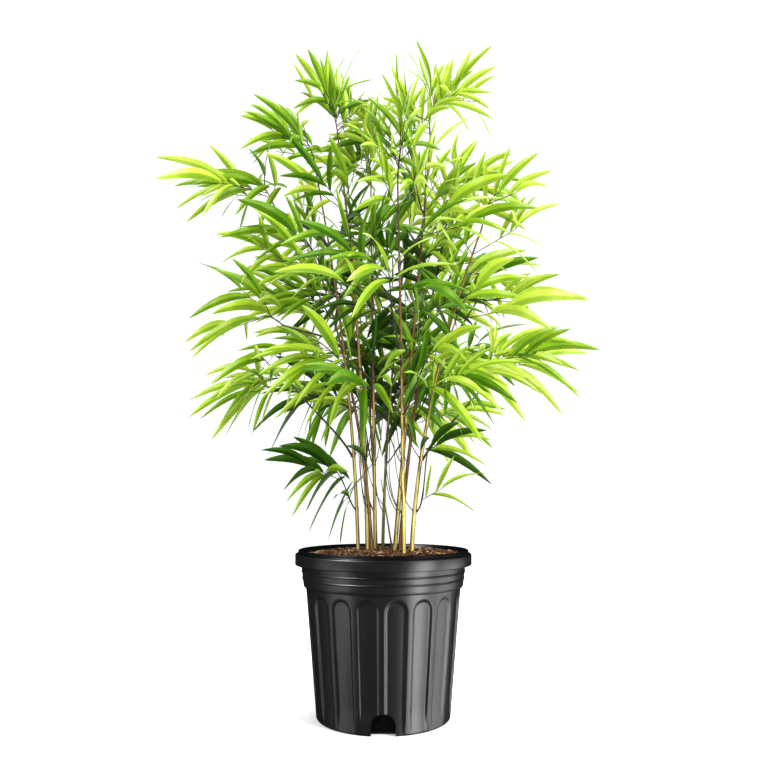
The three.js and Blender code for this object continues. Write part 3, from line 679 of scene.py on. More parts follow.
def waxy_cane(name, foot, middle, top, streak_and_flank_shade):
    """Living bamboo cane: a smooth waxy skin with fine streaks along it, its colour turning with height.

    Darker streaks run up it, and painted shade in the streaks' colour darkens its two flanks, the sides that
    face along X.
    """
    material, tree, place = new_material(name)
    height = add(tree, "SeparateXYZ", Vector=place).outputs["Z"]
    # Streaks 2 mm wide and 80 mm long
    stretched = add(tree, "Mapping", Vector=place, Scale=(480, 480, 12))
    streaks = add(tree, "TexNoise", Vector=stretched, Scale=1, Detail=3)
    # Paler at the foot and darker brown towards the top
    height_share = add(tree, "MapRange", Value=height, From_Min=0.36, From_Max=0.82)
    mixed = add(tree, "Math", operation="MULTIPLY_ADD", i0=streaks, i1=0.35, i2=height_share)
    colour = add(tree, "ValToRGB", Fac=mixed, stops=[(0.12, foot), (0.5, middle), (1, top)])
    # Painted shade: the flanks that face along X take the streaks' dark colour
    facing = add(tree, "SeparateXYZ", Vector=add(tree, "NewGeometry").outputs["Normal"])
    aside = add(tree, "Math", operation="ABSOLUTE", i0=facing)
    painted_flank_shade = add(tree, "Math", operation="MULTIPLY", i0=aside, i1=0.6)
    dark = add(tree, "Math", operation="MULTIPLY_ADD", i0=streaks, i1=1.4, i2=painted_flank_shade)
    share = add(tree, "MapRange", Value=dark, From_Min=0.77, From_Max=1.1, To_Max=0.94)
    both = add(tree, "Mix", data_type="RGBA", i0=share, i6=colour, i7=linear(streak_and_flank_shade)).outputs[2]
    bump = add(tree, "Bump", Strength=0.25, Distance=0.0003, Height=streaks)
    return finished(material, add(tree, "BsdfPrincipled", Base_Color=both, Roughness=0.34, Normal=bump,
                                  IOR=1.46, Specular_IOR_Level=0.35))


def dark_twig():
    """Thin bamboo twigs: smooth dark purple-brown cane, with paler patches where sheaths have dropped."""
    material, tree, place = new_material("thin_purple_brown_cane")
    patches = add(tree, "TexNoise", Vector=place, Scale=55, Detail=3)
    colour = add(tree, "ValToRGB", Fac=patches,
                 stops=[(0.3, "#120d0e"), (0.55, "#241a15"), (0.75, "#4e421f")])
    return finished(material, add(tree, "BsdfPrincipled", Base_Color=colour, Roughness=0.45, IOR=1.46,
                                  Specular_IOR_Level=0.25))


def leaf_blade(name, shade, light, glow, edge):
    """A bamboo leaf: a thin satin blade with veins and a pale margin, darker at its root, with painted shade
    on its lower half.

    It lets yellow-green light through.
    """
    material, tree, place = new_material(name)
    blade_place = add(tree, "SeparateXYZ", Vector=add(tree, "UVMap", uv_map="blade"))
    across, along = blade_place.outputs["X"], blade_place.outputs["Y"]
    mottle = add(tree, "TexNoise", Vector=place, Scale=24, Detail=1)
    # Real veins lie 0.5 mm apart: drawn as streaks 7 mm apart, so that they show
    turns = add(tree, "Math", operation="MULTIPLY", i0=across, i1=19.0)
    waves = add(tree, "Math", operation="SINE", i0=turns)
    fading = add(tree, "Math", operation="SUBTRACT", i0=1.0, i1=along)
    veins = add(tree, "Math", operation="MULTIPLY", i0=waves, i1=fading)
    from_rib = add(tree, "Math", operation="MULTIPLY_ADD", i0=across, i1=2.0, i2=-1.0)
    off_rib = add(tree, "Math", operation="ABSOLUTE", i0=from_rib)
    margin = add(tree, "MapRange", Value=off_rib, From_Min=0.88, From_Max=0.98, To_Max=0.16)
    # Painted light and shade: the upper half of the blade is paler and the lower half darker
    half = add(tree, "MapRange", Value=across, From_Min=0.48, From_Max=0.52, To_Min=-0.1, To_Max=0.2)
    patches = add(tree, "Math", operation="MULTIPLY_ADD", i0=mottle, i1=0.5, i2=half)
    lengthwise = add(tree, "Math", operation="MULTIPLY_ADD", i0=along, i1=0.2, i2=patches)
    streaked = add(tree, "Math", operation="MULTIPLY_ADD", i0=veins, i1=0.04, i2=lengthwise)
    tone = add(tree, "Math", operation="ADD", i0=streaked, i1=margin)
    # The palest stop is the pale margin and also a painted highlight
    colour = add(tree, "ValToRGB", Fac=tone, stops=[(0.22, shade), (0.56, light), (0.9, edge)])
    skin = add(tree, "BsdfPrincipled", Base_Color=colour, Roughness=0.3, IOR=1.42, Specular_IOR_Level=0.08)
    through = add(tree, "BsdfTranslucent", Color=linear(glow))
    return finished(material, add(tree, "MixShader", Fac=0.24, i1=skin, i2=through))


def leaf_midrib(name, dark, pale):
    """The rib along the middle of a leaf, smooth and a little fleshy, hardly paler than the blade."""
    material, tree, place = new_material(name)
    mottle = add(tree, "TexNoise", Vector=place, Scale=60, Detail=2)
    tint = add(tree, "ValToRGB", Fac=mottle, stops=[(0.35, dark), (0.7, pale)])
    return finished(material, add(tree, "BsdfPrincipled", Base_Color=tint, Roughness=0.5, IOR=1.42,
                                  Specular_IOR_Level=0.2))


def pale_floor():
    """A seamless studio floor: matt, nearly white."""
    material, tree, place = new_material("studio_floor")
    wash = add(tree, "TexNoise", Vector=place, Scale=2, Detail=1)
    colour = add(tree, "ValToRGB", Fac=wash, stops=[(0, "#f6f6f5"), (1, "#fbfbfa")])
    return finished(material, add(tree, "BsdfPrincipled", Base_Color=colour, Roughness=0.9))


# Mesh making

class Bundle:
    """Gathers shapes into one mesh. A shape has one material number, or a list with one for each face."""

    def __init__(self):
        self.points, self.faces, self.finishes, self.uvs = [], [], [], []

    def add(self, points, faces, finish=0, uvs=None):
        start = len(self.points)
        self.points += [tuple(p) for p in points]
        self.faces += [tuple(start + i for i in face) for face in faces]
        self.finishes += finish if isinstance(finish, list) else [finish] * len(faces)
        self.uvs += uvs if uvs is not None else [(0, 0)] * len(points)

    def make(self, name, materials, smooth=True, sharp=None):
        mesh = bpy.data.meshes.new(name)
        mesh.from_pydata([tuple(c * MILLIMETRE for c in point) for point in self.points], [], self.faces)
        mesh.polygons.foreach_set("material_index", self.finishes)
        layer = mesh.uv_layers.new(name="blade")
        corners = np.empty(len(mesh.loops), np.int32)
        mesh.loops.foreach_get("vertex_index", corners)
        layer.data.foreach_set("uv", np.array(self.uvs, np.float32)[corners].ravel())
        mesh.polygons.foreach_set("use_smooth", [smooth] * len(self.faces))
        for material in materials:
            mesh.materials.append(material)
        if sharp is not None:
            mesh.set_sharp_from_angle(angle=math.radians(sharp))
        made = bpy.data.objects.new(name, mesh)
        bpy.context.scene.collection.objects.link(made)
        return made


def mesh_of(shape, name, materials, **look):
    bundle = Bundle()
    bundle.add(*shape)
    return bundle.make(name, materials, **look)


def place_piece(made, slot, *nodes):
    """Hands a piece to the frame: it rides on the one body and stands for the given nodes."""
    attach(made, "root")
    if nodes:
        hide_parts(*nodes)
    return made


def ring_faces(rings, count, first=0):
    """The faces between rings of points that follow each other."""
    starts = [(first + r * count, first + (r + 1) * count) for r in range(rings - 1)]
    return [(low + i, low + (i + 1) % count, high + (i + 1) % count, high + i)
            for low, high in starts for i in range(count)]


def tube(points, radii, sides):
    """A closed round tube along points: its vertices and faces."""
    count = len(points)
    tangents = [(points[min(k + 1, count - 1)] - points[max(k - 1, 0)]).normalized() for k in range(count)]
    side = side_of(tangents[0])
    vertices = []
    for point, radius, tangent in zip(points, radii, tangents):
        side = (side - tangent * side.dot(tangent)).normalized()
        across = tangent.cross(side)
        vertices += [point + side * (radius * math.cos(a)) + across * (radius * math.sin(a))
                     for a in round_angles(sides)]
    last = (count - 1) * sides
    ends = [tuple(range(sides))[::-1], tuple(last + i for i in range(sides))]
    return vertices, ring_faces(count, sides) + ends


# Pot

def body_radius(height):
    share = (height - FOOT_ROUND) / (COLLAR_BOTTOM - FOOT_ROUND)
    return FOOT_RADIUS + share * (BODY_TOP_RADIUS - FOOT_RADIUS)


def collar_radius(height):
    share = (height - COLLAR_BOTTOM) / (BAND_BOTTOM - COLLAR_BOTTOM)
    return COLLAR_BOTTOM_RADIUS + share * (COLLAR_TOP_RADIUS - COLLAR_BOTTOM_RADIUS)


def arc(centre, radius, first, last, steps):
    """Points on an arc in the radius-height plane, angles in degrees from outward."""
    return [(centre[0] + radius * math.cos(math.radians(first + (last - first) * k / steps)),
             centre[1] + radius * math.sin(math.radians(first + (last - first) * k / steps)))
            for k in range(steps + 1)]


def raised_ring(height):
    """A thin rounded ring moulded on the collar."""
    heights = [height + RING_HALF_HEIGHT * (2 * k / RING_STEPS - 1) for k in range(RING_STEPS + 1)]
    return [(collar_radius(z) + RING_PROUD * math.cos((z - height) / RING_HALF_HEIGHT * math.pi / 2), z)
            for z in heights]


def pot_outline():
    """The pot's outline from the middle of its underside up, over the lip and down to the floor inside.

    With it come the numbers of the first point with panels and the first past them.
    """
    rows = int((COLLAR_BOTTOM - FOOT_ROUND) / POT_ROW)
    body = [(body_radius(z), z) for z in (
        FOOT_ROUND + (COLLAR_BOTTOM - 0.8 - FOOT_ROUND) * k / rows for k in range(rows + 1))]
    outer = [(0, 0), (FLOOR_RING, 0),
             *arc((FOOT_RADIUS - FOOT_ROUND, FOOT_ROUND), FOOT_ROUND, -90, -10, 4), *body]
    collar = [(COLLAR_BOTTOM_RADIUS + out, COLLAR_BOTTOM + up) for out, up in COLLAR_LEDGE]
    collar += [(collar_radius(z), z) for z in COLLAR_ROWS]
    for height in RING_HEIGHTS:
        collar += raised_ring(height)
    collar += [(collar_radius(z), z) for z in ROWS_OVER_RINGS]
    collar += arc((COLLAR_TOP_RADIUS + 1, BAND_BOTTOM - 0.4), 0.8, 180, 90, 3)
    low, high = BAND_ROUNDS
    band = [*arc((BAND_RADIUS - low, BAND_BOTTOM + low), low, -90, 0, 4),
            *arc((BAND_RADIUS - high, BAND_TOP - high), high, 0, 90, 5)]
    outside, inside = LIP_ROUNDS
    lip = [(LIP_RADIUS + 0.4, BAND_TOP + 0.2), (LIP_RADIUS, BAND_TOP + 1),
           *arc((LIP_RADIUS - outside, LIP_TOP - outside), outside, 0, 90, 4),
           *arc((LIP_RADIUS - LIP_WIDTH + inside, LIP_TOP - inside), inside, 90, 180, 3)]
    inner = [(body_radius(SOIL_EDGE), SOIL_EDGE), (body_radius(COLLAR_BOTTOM) - WALL, COLLAR_BOTTOM),
             (body_radius(FLOOR) - WALL, FLOOR), (FLOOR_RING, FLOOR), (0, FLOOR)]
    return [*outer, *collar, *band, *lip, *inner], (2, len(outer))


def panel_depth(angle, height):
    """How deep the wall is pressed in at an angle and height: arched panels with soft borders.

    They run out towards the foot.
    """
    pitch = 2 * math.pi / PANEL_COUNT
    off = ((angle - PANEL_TURN) / pitch) % 1 - 0.5
    radius = body_radius(height)
    across = abs(off) * pitch * radius
    if height <= PANEL_SPRING:
        inside = PANEL_ANGLE / 2 * radius - across
    else:
        inside = PANEL_ANGLE / 2 * body_radius(PANEL_SPRING) - math.hypot(across, height - PANEL_SPRING)
    share = min(1, max(0, inside / PANEL_BORDER))
    return PANEL_DEPTH * min(1, height / PANEL_FADE) * share * share * (3 - 2 * share)


def notch_cutter(turn):
    """The arched space of one drainage notch, which starts a little under the pot."""
    half = NOTCH_WIDTH / 2
    outline = [(-half, -2), (half, -2)]
    for k in range(NOTCH_STEPS + 1):
        angle = math.pi * k / NOTCH_STEPS
        outline.append((half * math.cos(angle), NOTCH_HEIGHT - half + half * math.sin(angle)))
    near, far = -FOOT_RADIUS - NOTCH_DEPTH, -FOOT_RADIUS + NOTCH_DEPTH
    points = [turned(Vector((x, y, z)), UP, turn) for y in (near, far) for x, z in outline]
    count = len(outline)
    faces = [tuple(range(count)), tuple(range(2 * count - 1, count - 1, -1))]
    faces += [(i, i + count, (i + 1) % count + count, (i + 1) % count) for i in range(count)]
    return points, faces


def make_pot(material):
    outline, (first, last) = pot_outline()
    angles = round_angles(POT_SEGMENTS)
    points = []
    for row, (radius, height) in enumerate(outline[1:-1], 1):
        pressed = first <= row < last
        for angle in angles:
            points.append(polar(radius - (panel_depth(angle, height) if pressed else 0), angle, height))
    rows, n = len(outline) - 2, POT_SEGMENTS
    faces = ring_faces(rows, n)
    under, floor = len(points), len(points) + 1
    points += [(0, 0, outline[0][1]), (0, 0, outline[-1][1])]
    faces += [((i + 1) % n, i, under) for i in range(n)]
    faces += [((rows - 1) * n + i, (rows - 1) * n + (i + 1) % n, floor) for i in range(n)]
    pot = mesh_of((points, faces), "nursery_pot", [material])
    cutters = Bundle()
    for turn in round_angles(NOTCH_COUNT):
        cutters.add(*notch_cutter(turn))
    cut_away(pot, cutters.make("notch_cutters", []))
    pot.data.set_sharp_from_angle(angle=math.radians(POT_CREASE))
    return place_piece(pot, "pot_plastic", "pot")


def cut_away(made, cutter):
    """Cuts one closed mesh out of another and removes the cutter."""
    for each in (made, cutter):
        tidy = bmesh.new()
        tidy.from_mesh(each.data)
        bmesh.ops.recalc_face_normals(tidy, faces=tidy.faces)
        tidy.to_mesh(each.data)
        tidy.free()
    cut = made.modifiers.new("cut", "BOOLEAN")
    cut.operation, cut.solver, cut.object = "DIFFERENCE", "MANIFOLD", cutter
    depsgraph = bpy.context.evaluated_depsgraph_get()
    result = bpy.data.meshes.new_from_object(made.evaluated_get(depsgraph))
    made.modifiers.clear()
    made.data = result
    bpy.data.objects.remove(cutter)
    result.polygons.foreach_set("use_smooth", [True] * len(result.polygons))


# Soil

def soil_height(radius, angle, waves):
    """The crumbly top of the soil: level round the culms and a little lower at the wall."""
    fall = max(0, (radius - SOIL_LEVEL_RADIUS) / (SOIL_RADIUS - SOIL_LEVEL_RADIUS))
    x, y, _ = polar(radius, angle)
    crumbs = sum(math.sin(x * fx + y * fy + phase) * size for fx, fy, phase, size in waves)
    return SOIL_TOP - SOIL_SETTLED - (SOIL_TOP - SOIL_EDGE) * fall + crumbs * (1 - 0.5 * fall)


def make_soil(materials):
    """Makes the soil, its top of the first material and its sides of the second, and gives its waves."""
    draw = seeded(SOIL_SEED)
    waves = [(between(draw, pace), between(draw, pace), ANY_TURN * draw(), size)
             for count, pace, size in SOIL_WAVES for _ in range(count)]
    n = SOIL_SEGMENTS
    angles = round_angles(n)
    points = [(0, 0, soil_height(0, 0, waves))]
    for ring in range(1, SOIL_RINGS + 1):
        r = SOIL_RADIUS * ring / SOIL_RINGS
        points += [polar(r, a, soil_height(r, a, waves)) for a in angles]
    inside = FOOT_RADIUS - NOTCH_DEPTH - 1
    sides = [(body_radius(z) - WALL - SOIL_WALL_GAP, z) for z in (COLLAR_BOTTOM, SOIL_STEP)]
    sides += [(inside, SOIL_STEP - 1), (inside, FLOOR + GAP)]
    for r, height in sides:
        points += [polar(r, a, height) for a in angles]
    points.append((0, 0, FLOOR + GAP))
    rings = SOIL_RINGS + len(sides)
    faces = [(0, 1 + i, 1 + (i + 1) % n) for i in range(n)]
    faces += [(face[0], *face[:0:-1]) for face in ring_faces(rings, n, 1)]
    last = 1 + (rings - 1) * n
    faces += [(last + (i + 1) % n, last + i, len(points) - 1) for i in range(n)]
    finishes = [0 if k < SOIL_RINGS * n else 1 for k in range(len(faces))]
    soil = mesh_of((points, faces, finishes), "bark_soil", materials, sharp=SOIL_CREASE)
    place_piece(soil, "bark_soil", "soil")
    return waves


CHIP_SPREAD = 119
CHIP_SEED = 900
CHIP_LIFT = (0, 1.2)
CHIP_TILT = (-0.35, 0.35)
CHIP_ROLL = 0.6
CHIP_OUTLINE = ((-0.5, -0.5), (0, -0.6), (0.5, -0.5), (0.5, 0.5), (0, 0.6), (-0.5, 0.5))
CHIP_KINDS = {  # name: how many, lengths, widths, thickness, colours from dark to light
    "bark_chips_dark": (900, (4, 10), (2, 4), 1.6, ("#180e0a", "#342017", "#523626")),
    "bark_chips_red": (800, (4, 11), (1.6, 4), 1.6, ("#341e14", "#5c3c2a", "#846046")),
    "bark_chips_orange": (130, (5, 12), (2, 4), 1.5, ("#5e3c20", "#90643c", "#b48c60")),
    "straw_flecks": (170, (8, 24), (0.6, 1.1), 0.6, ("#86745a", "#b4a286", "#d8c8aa")),
}


def bark_chip(centre, length, width, thickness, heading, tilt, draw):
    """A torn flake of bark: a flat block with crooked corners."""
    turn = Matrix.Rotation(heading, 3, "Z") @ Matrix.Rotation(tilt, 3, "Y") @ Matrix.Rotation(
        CHIP_ROLL * (draw() - 0.5), 3, "X")
    corners = []
    for z in (-0.5, 0.5):
        for x, y in CHIP_OUTLINE:
            shrink = 0.7 + 0.5 * draw()
            corners.append(centre + turn @ Vector((x * length * shrink, y * width * shrink,
                                                   z * thickness * (0.5 + draw()))))
    faces = [(5, 4, 3, 2, 1, 0), (6, 7, 8, 9, 10, 11)]
    return corners, faces + ring_faces(2, len(CHIP_OUTLINE))


def make_chips(waves):
    for number, (name, (count, lengths, widths, thickness, colours)) in enumerate(CHIP_KINDS.items()):
        draw = seeded(CHIP_SEED + number)
        bundle = Bundle()
        for _ in range(count):
            radius, angle = CHIP_SPREAD * math.sqrt(draw()), 2 * math.pi * draw()
            length = between(draw, lengths)
            radius = min(radius, SOIL_RADIUS - length / 2)
            height = soil_height(radius, angle, waves) + between(draw, CHIP_LIFT)
            centre = Vector(polar(radius, angle, height))
            bundle.add(*bark_chip(centre, length, between(draw, widths), thickness, ANY_TURN * draw(),
                                  between(draw, CHIP_TILT), draw))
        place_piece(bundle.make(name, [composted_bark(name, *colours)], smooth=False), "bark_soil")


# Culms, boughs and twigs

# A joint, as heights in mm from its scar and shares of the culm's radius there, on a culm of this radius
JOINT_PROFILE = ((-4, 1), (-1.4, 1.04), (-0.7, 1.2), (0, 1.24), (0.5, 1.08), (1.3, 1.06), (2.4, 1.16),
                 (3.6, 1.08), (6, 1))
PROFILE_RADIUS = 3.4
FOOT_PROFILE = ((-3, 1.1), (0, 1.04))
CULM_ROUND = 18
CANE_CREASE = 60

# A bough: how far its root reaches back into the joint and its radius there, then its radius along it
BOUGH_ROOT, BOUGH_ROOT_RADIUS = 2.5, 2.3
BOUGH_FIRST_RADIUS, BOUGH_TAPER = 1.9, 0.6
BOUGH_JOINTS, BOUGH_JOINT_SWELL = (5, 10), 0.35
BOUGH_STEPS, BOUGH_ROUND = 16, 10

# Twigs: first and last radius, and sides
STEM_TWIG = (1.3, 0.65, 8)
SIDE_TWIG = (0.7, 0.5, 6)
FINE_TWIG = (0.55, 0.4, 5)
JOINT_TWIG = (0.7, 0.45, 6)
WIRY_TWIG = (0.75, 0.4, 6)
TWIG_STEPS = 6
TWIG_JOINT_SWELL = 1.35
STEM_ROOT = 2
STEM_TWIG_STEPS = 12

# Colours of each kind of cane at its foot, middle and top, and of its darker streaks, which also paint shade
# on its flanks
CANE_KINDS = {
    "yellow_cane": ("#d6c264", "#8a6430", "#442416", "#30260c"),
    "golden_cane": ("#dcca72", "#a07636", "#5c361a", "#3c2e10"),
    "brown_cane": ("#8a6224", "#66391a", "#341a10", "#24140a"),
    "olive_cane": ("#85843e", "#6c6c2a", "#45451c", "#2c3014"),
}


def make_cane(name, points, radii, sides, material, slot):
    cane = mesh_of(tube(points, radii, sides), name + "_cane", [material], sharp=CANE_CREASE)
    place_piece(cane, slot, name)


def make_culm(name, material):
    """A culm with its joints: a sheath scar, a waist and a ridge at each."""
    culm = CULMS[name]
    curve = culm_curve(culm)
    rise = culm.tip[2] - SOIL_TOP
    size = culm.radius / PROFILE_RADIUS
    sections = [(height / rise, swell) for height, swell in FOOT_PROFILE]
    joints = joint_shares(culm)
    for before, share in zip([0, *joints], joints):
        sections += [(before + (share - before) * part, 1) for part in (0.3, 0.5, 0.7)]
        sections += [(share + height * size / rise, swell) for height, swell in JOINT_PROFILE]
    sections += [((joints[-1] + 1) / 2, 1), (1, 1)]
    sections = sorted(sections)
    points = [curve_point(curve, max(0, s)) + UP * (min(0, s) * rise) for s, _ in sections]
    radii = [swell * culm_radius(culm, max(0, s)) for s, swell in sections]
    make_cane(name, points, radii, CULM_ROUND, material, "culm")


def make_bough(name, material):
    curve = bough_curve(BOUGHS[name])
    points = [curve[0] - curve_tangent(curve, 0) * BOUGH_ROOT] + curve_points(curve, BOUGH_STEPS)
    radii = [BOUGH_ROOT_RADIUS] + [
        BOUGH_FIRST_RADIUS - BOUGH_TAPER * k / BOUGH_STEPS + (BOUGH_JOINT_SWELL if k in BOUGH_JOINTS else 0)
        for k in range(BOUGH_STEPS + 1)]
    make_cane(name, points, radii, BOUGH_ROUND, material, "twig")


def add_twig(bundle, path, first, last, sides):
    """A thin twig with two small joints, tapering from its first to its last radius."""
    if len(path) == 2:
        path = [path[0].lerp(path[1], k / TWIG_STEPS) for k in range(TWIG_STEPS + 1)]
    steps = len(path) - 1
    joints = (steps // 3, 2 * steps // 3)
    radii = [(first + (last - first) * k / steps) * (TWIG_JOINT_SWELL if k in joints else 1)
             for k in range(steps + 1)]
    bundle.add(*tube(path, radii, sides))


# Leaves

# The real blade, beside the solid's broader stand-in
BLADE_WIDTHS = (0.74, 0.95)
BLADE_ARCH = 0.065
FOLD_CREASE = 9
BLADE_ROWS = (0, 0.03, 0.1, 0.2, 0.33, 0.48, 0.63, 0.77, 0.9, 1)
MIDRIB_WIDTH = 0.6
MIDRIB_PROUD = 0.4
PETIOLE_WIDTH = 1.6
FOLDS = (0.15, 0.5)
FACING = 0.62
ROLLS = (-0.55, 0.55)
TWISTS = (-0.5, 0.5)
RIPPLE = 0.4
RIPPLES = 9

# Leaf tones, painted light and shade from the shaded inside of the crown to its sunlit top and right: shade,
# light, glow, and a margin that is also the palest painted highlight
LEAF_TONES = {
    "leaves_inner_painted_shade": ("#0b1f02", "#274a06", "#3a6608", "#5c7e36"),
    "leaves_deep_green": ("#183a04", "#477208", "#68950e", "#8eae5c"),
    "leaves_green": ("#2c5006", "#6c9414", "#96b828", "#c0d292"),
    "leaves_lime": ("#426e0a", "#94b226", "#bad244", "#d6e3b0"),
    "leaves_sunlit": ("#557e0a", "#a8c134", "#cbdd5c", "#e0eabe"),
}
TONE_NAMES = list(LEAF_TONES)
# How pale a spray is: painted light and shade at the crown's middle, towards its outside, right and top, and
# a random tone by chance
PALE_MIDDLE, PALE_OUTSIDE, PALE_RIGHT, PALE_TOP = 0.08, 0.6, 0.12, 0.04
DEPTH_WEIGHT = 0.6
PALE_CHANCE = (-0.28, 0.4)


def blade_width(share):
    """The broad lanceolate outline: the width at a share of the length, against the widest."""
    return min(1, 1.9 * share ** 0.6 * (1 - share) ** 0.8)


def blade_frame(leaf):
    """How a blade hangs: its upper face turned outwards and up, and the way it arches."""
    heading, face = leaf.heading, leaf.face
    aside = side_of(heading)
    if aside.dot(leaf.root) < 0:
        aside = -aside
    over = (UP - heading * heading.z).normalized()
    above = (aside * FACING + over * (1 - FACING)).normalized()
    across = heading.cross(above)
    # The across way points up, which puts the painted shade on the lower half of the blade
    return (across if across.z > 0 else -across), above, face.lerp(over, math.hypot(heading.x, heading.y))


def blade(leaf, draw):
    """The mesh of one leaf: a folded, twisted blade with a midrib, arching out and hanging at its tip."""
    root, heading, _, length, width = leaf
    width = width * between(draw, BLADE_WIDTHS)
    fold, roll, twist = between(draw, FOLDS), between(draw, ROLLS), between(draw, TWISTS)
    phase = ANY_TURN * draw()
    level = math.hypot(heading.x, heading.y)
    side, face, arch = blade_frame(leaf)
    points, uvs = [], []
    for share in BLADE_ROWS[:-1]:
        arched = BLADE_ARCH * length * math.sin(math.pi * share ** 0.75)
        sag = LEAF_DROOP * level * length * share ** 2
        centre = root + heading * (length * share) + arch * arched - UP * sag
        turn = Matrix.Rotation(roll + twist * share, 3, heading)
        across, above = turn @ side, turn @ face
        half = max(PETIOLE_WIDTH / 2 * (1 - share), blade_width(share) * width / 2)
        rib = min(half * 0.4, MIDRIB_WIDTH / 2 * (1 - 0.6 * share))
        for off in (-half, -(half + rib) / 2, -rib, rib, (half + rib) / 2, half):
            rise = fold * abs(off) * (1 - 0.5 * share) + (MIDRIB_PROUD if abs(off) == rib else 0)
            if abs(off) == half:
                wave = math.sin(RIPPLES * share + phase + (2 if off > 0 else 0))
                rise += RIPPLE * wave * min(1, 4 * share)
            points.append(centre + across * off + above * rise)
            uvs.append((0.5 + 0.5 * off / half, share))
    points.append(leaf_tip(leaf))
    uvs.append((0.5, 1))
    rows, n, tip = len(BLADE_ROWS) - 1, 6, len(points) - 1
    faces = [(r * n + i, r * n + i + 1, (r + 1) * n + i + 1, (r + 1) * n + i)
             for r in range(rows - 1) for i in range(n - 1)]
    faces += [((rows - 1) * n + i, (rows - 1) * n + i + 1, tip) for i in range(n - 1)]
    finishes = [1 if i == 2 else 0 for _ in range(rows) for i in range(n - 1)]
    return points, faces, finishes, uvs


def tone_of(spray, draw):
    """The name of a spray's tone, in painted light and shade: paler towards the top, the right and the
    outside of the crown.
    """
    off = spray.leaves[0].root - CROWN_MIDDLE
    aside, deep, high = (off[i] / CROWN_REACH[i] for i in range(3))
    pale = (PALE_OUTSIDE * math.hypot(aside, DEPTH_WEIGHT * deep, high) + PALE_MIDDLE + PALE_RIGHT * aside
            + PALE_TOP * high + between(draw, PALE_CHANCE))
    return TONE_NAMES[min(len(TONE_NAMES) - 1, max(0, int(pale * len(TONE_NAMES))))]


def make_foliage(twig_material):
    twigs = Bundle()
    tones = {name: Bundle() for name in LEAF_TONES}
    stood = {name: set() for name in LEAF_TONES}

    def leaf_out(sprays, draw, *masses):
        """Adds the leaves of each spray to the piece of the spray's tone, which then stands for the mass."""
        for spray in sprays:
            if spray.leaves:
                tone = tone_of(spray, draw)
                stood[tone].update(masses)
                for leaf in spray.leaves:
                    tones[tone].add(*blade(leaf, draw))

    for number, name in enumerate(MASSES):
        sprays = grow_mass(name, number)
        finer = grow_finer(name, number, sprays)
        curve = STEMS[name]
        root = curve[0] - curve_tangent(curve, 0) * STEM_ROOT
        add_twig(twigs, [root] + curve_points(curve, STEM_TWIG_STEPS), *STEM_TWIG)
        for spray in sprays[1:]:
            add_twig(twigs, spray.path, *SIDE_TWIG)
        for spray in finer:
            add_twig(twigs, spray.path, *FINE_TWIG)
        leaf_out(sprays + finer, own_draw(number, MASS_BLADES), name)
    for number, culm in enumerate(CULMS.values()):
        sprays = grow_joint_sprays(culm, number)
        for spray in sprays:
            add_twig(twigs, spray.path, *JOINT_TWIG)
        for path in grow_wiry_twigs(culm, number):
            add_twig(twigs, path, *WIRY_TWIG)
        leaf_out(sprays, own_draw(number, JOINT_BLADES))
    place_piece(twigs.make("twigs", [twig_material]), "twig", *MASSES)
    for tone, (shade, light, glow, edge) in LEAF_TONES.items():
        materials = [leaf_blade(tone + "_blade", shade, light, glow, edge),
                     leaf_midrib(tone + "_midrib", shade, light)]
        place_piece(tones[tone].make(tone, materials, sharp=FOLD_CREASE), "leaf", *sorted(stood[tone]))


# Studio

CAMERA_PLACE = (0.001, -1.1822, 0.3322)
CAMERA_PITCH = 8.14
CAMERA_LENS = 35.16
SENSOR = 36
HALF_FLOOR = 30
UNDER_POT = -0.0005
STUDIO_WHITE = 1.1
LIGHTS = {  # name: place, aim, width and height, power, all in metres and watts
    "key_softbox": ((1.7, -1.3, 1.7), (0, 0, 0.6), (1.0, 1.0), 88),
    "left_softbox": ((-1.3, -1.6, 1.3), (0, 0, 0.6), (1.0, 1.0), 24),
    "top_softbox": ((0.5, -0.3, 2.4), (0, 0, 0.75), (1.0, 1.0), 36),
    "back_softbox": ((0.5, 1.7, 1.8), (0, 0, 0.75), (1.4, 1.4), 20),
}
POT_LIGHTS = {  # cards that the pot alone mirrors, the low ones from under the floor's level
    "low_card": ((0.82, -0.68, -0.12), (0, 0, 0.1), (0.4, 0.9), 160),
    "low_right_card": ((1.1, 0.08, -0.15), (0, 0, 0.1), (0.7, 0.8), 115),
    "low_left_card": ((-1.06, -0.35, -0.15), (0, 0, 0.1), (0.4, 0.8), 22),
    "collar_card": ((-0.87, -0.66, -0.08), (0, 0, 0.2), (0.2, 0.16), 10),
    "ring_softbox": ((-1.15, -0.8, 1.2), (0, 0, 0.2), (0.4, 0.4), 800),
}


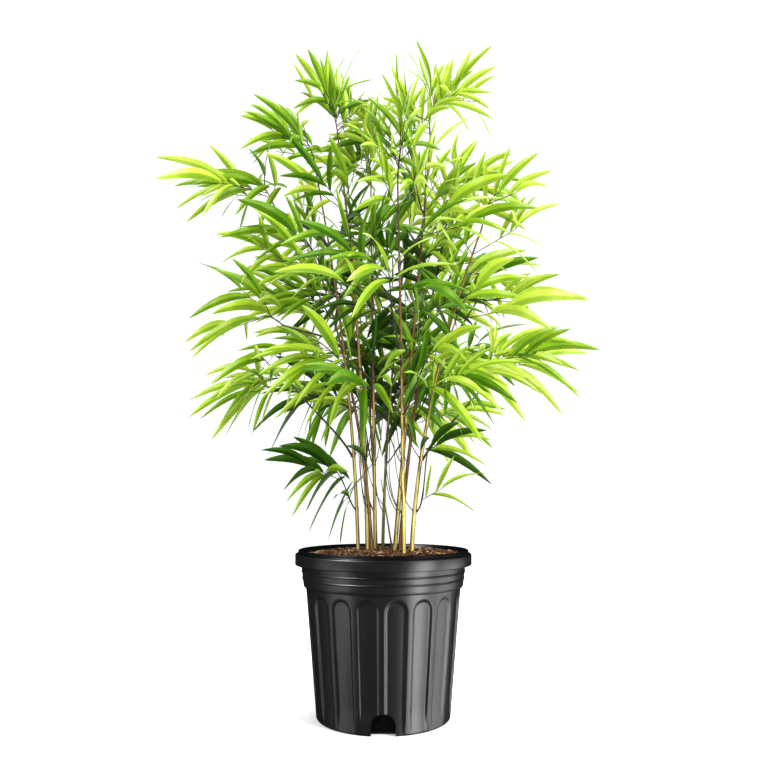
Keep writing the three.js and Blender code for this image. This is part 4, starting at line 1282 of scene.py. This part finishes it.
def make_studio(pot):
    pot_alone = bpy.data.collections.new("lit_by_pot_cards")
    pot_alone.objects.link(pot)
    floor = bpy.data.meshes.new("studio_floor")
    corners = ((-HALF_FLOOR, -HALF_FLOOR), (HALF_FLOOR, -HALF_FLOOR), (HALF_FLOOR, HALF_FLOOR),
               (-HALF_FLOOR, HALF_FLOOR))
    floor.from_pydata([(*corner, UNDER_POT) for corner in corners], [], [(0, 1, 2, 3)])
    floor.materials.append(pale_floor())
    stage = bpy.data.objects.new("studio_floor", floor)
    bpy.context.scene.collection.objects.link(stage)
    for name, (place, aim, size, power) in {**LIGHTS, **POT_LIGHTS}.items():
        lamp = bpy.data.lights.new(name, "AREA")
        lamp.shape, lamp.energy = "RECTANGLE", power
        lamp.size, lamp.size_y = size
        made = bpy.data.objects.new(name, lamp)
        made.location = place
        made.rotation_euler = (Vector(aim) - Vector(place)).to_track_quat("-Z", "Y").to_euler()
        bpy.context.scene.collection.objects.link(made)
        if name in POT_LIGHTS:
            made.light_linking.receiver_collection = pot_alone
            made.light_linking.blocker_collection = pot_alone
            lamp.cycles.use_multiple_importance_sampling = False
            made.visible_diffuse = False
    world = bpy.data.worlds.new("white_studio")
    world.use_nodes = True
    world.node_tree.nodes["Background"].inputs["Color"].default_value = (1, 1, 1, 1)
    world.node_tree.nodes["Background"].inputs["Strength"].default_value = STUDIO_WHITE
    bpy.context.scene.world = world
    bpy.context.scene.view_settings.view_transform = "Standard"


def make_camera():
    lens = bpy.data.cameras.new("camera")
    lens.lens, lens.sensor_width = CAMERA_LENS, SENSOR
    camera = bpy.data.objects.new("camera", lens)
    camera.location = CAMERA_PLACE
    camera.rotation_euler = (math.radians(90 + CAMERA_PITCH), 0, 0)
    bpy.context.scene.collection.objects.link(camera)
    bpy.context.scene.camera = camera


def make_plant():
    """Makes every piece of the plant, and gives back the pot."""
    pot = make_pot(moulded_polypropylene())
    top = composted_bark("bark_soil", "#1c130e", "#3c271c", "#604330")
    # The soil's sides show only through the drainage notches, and are painted near black as the shade inside
    # them
    waves = make_soil([top, composted_bark("peat_in_painted_shade", "#030202", "#070403", "#100906")])
    make_chips(waves)
    canes = {kind: waxy_cane(kind, *colours) for kind, colours in CANE_KINDS.items()}
    for name, culm in CULMS.items():
        make_culm(name, canes[culm.kind])
    twig = dark_twig()
    for name in BOUGHS:
        make_bough(name, twig)
    make_foliage(twig)
    return pot


make_studio(make_plant())
make_camera()
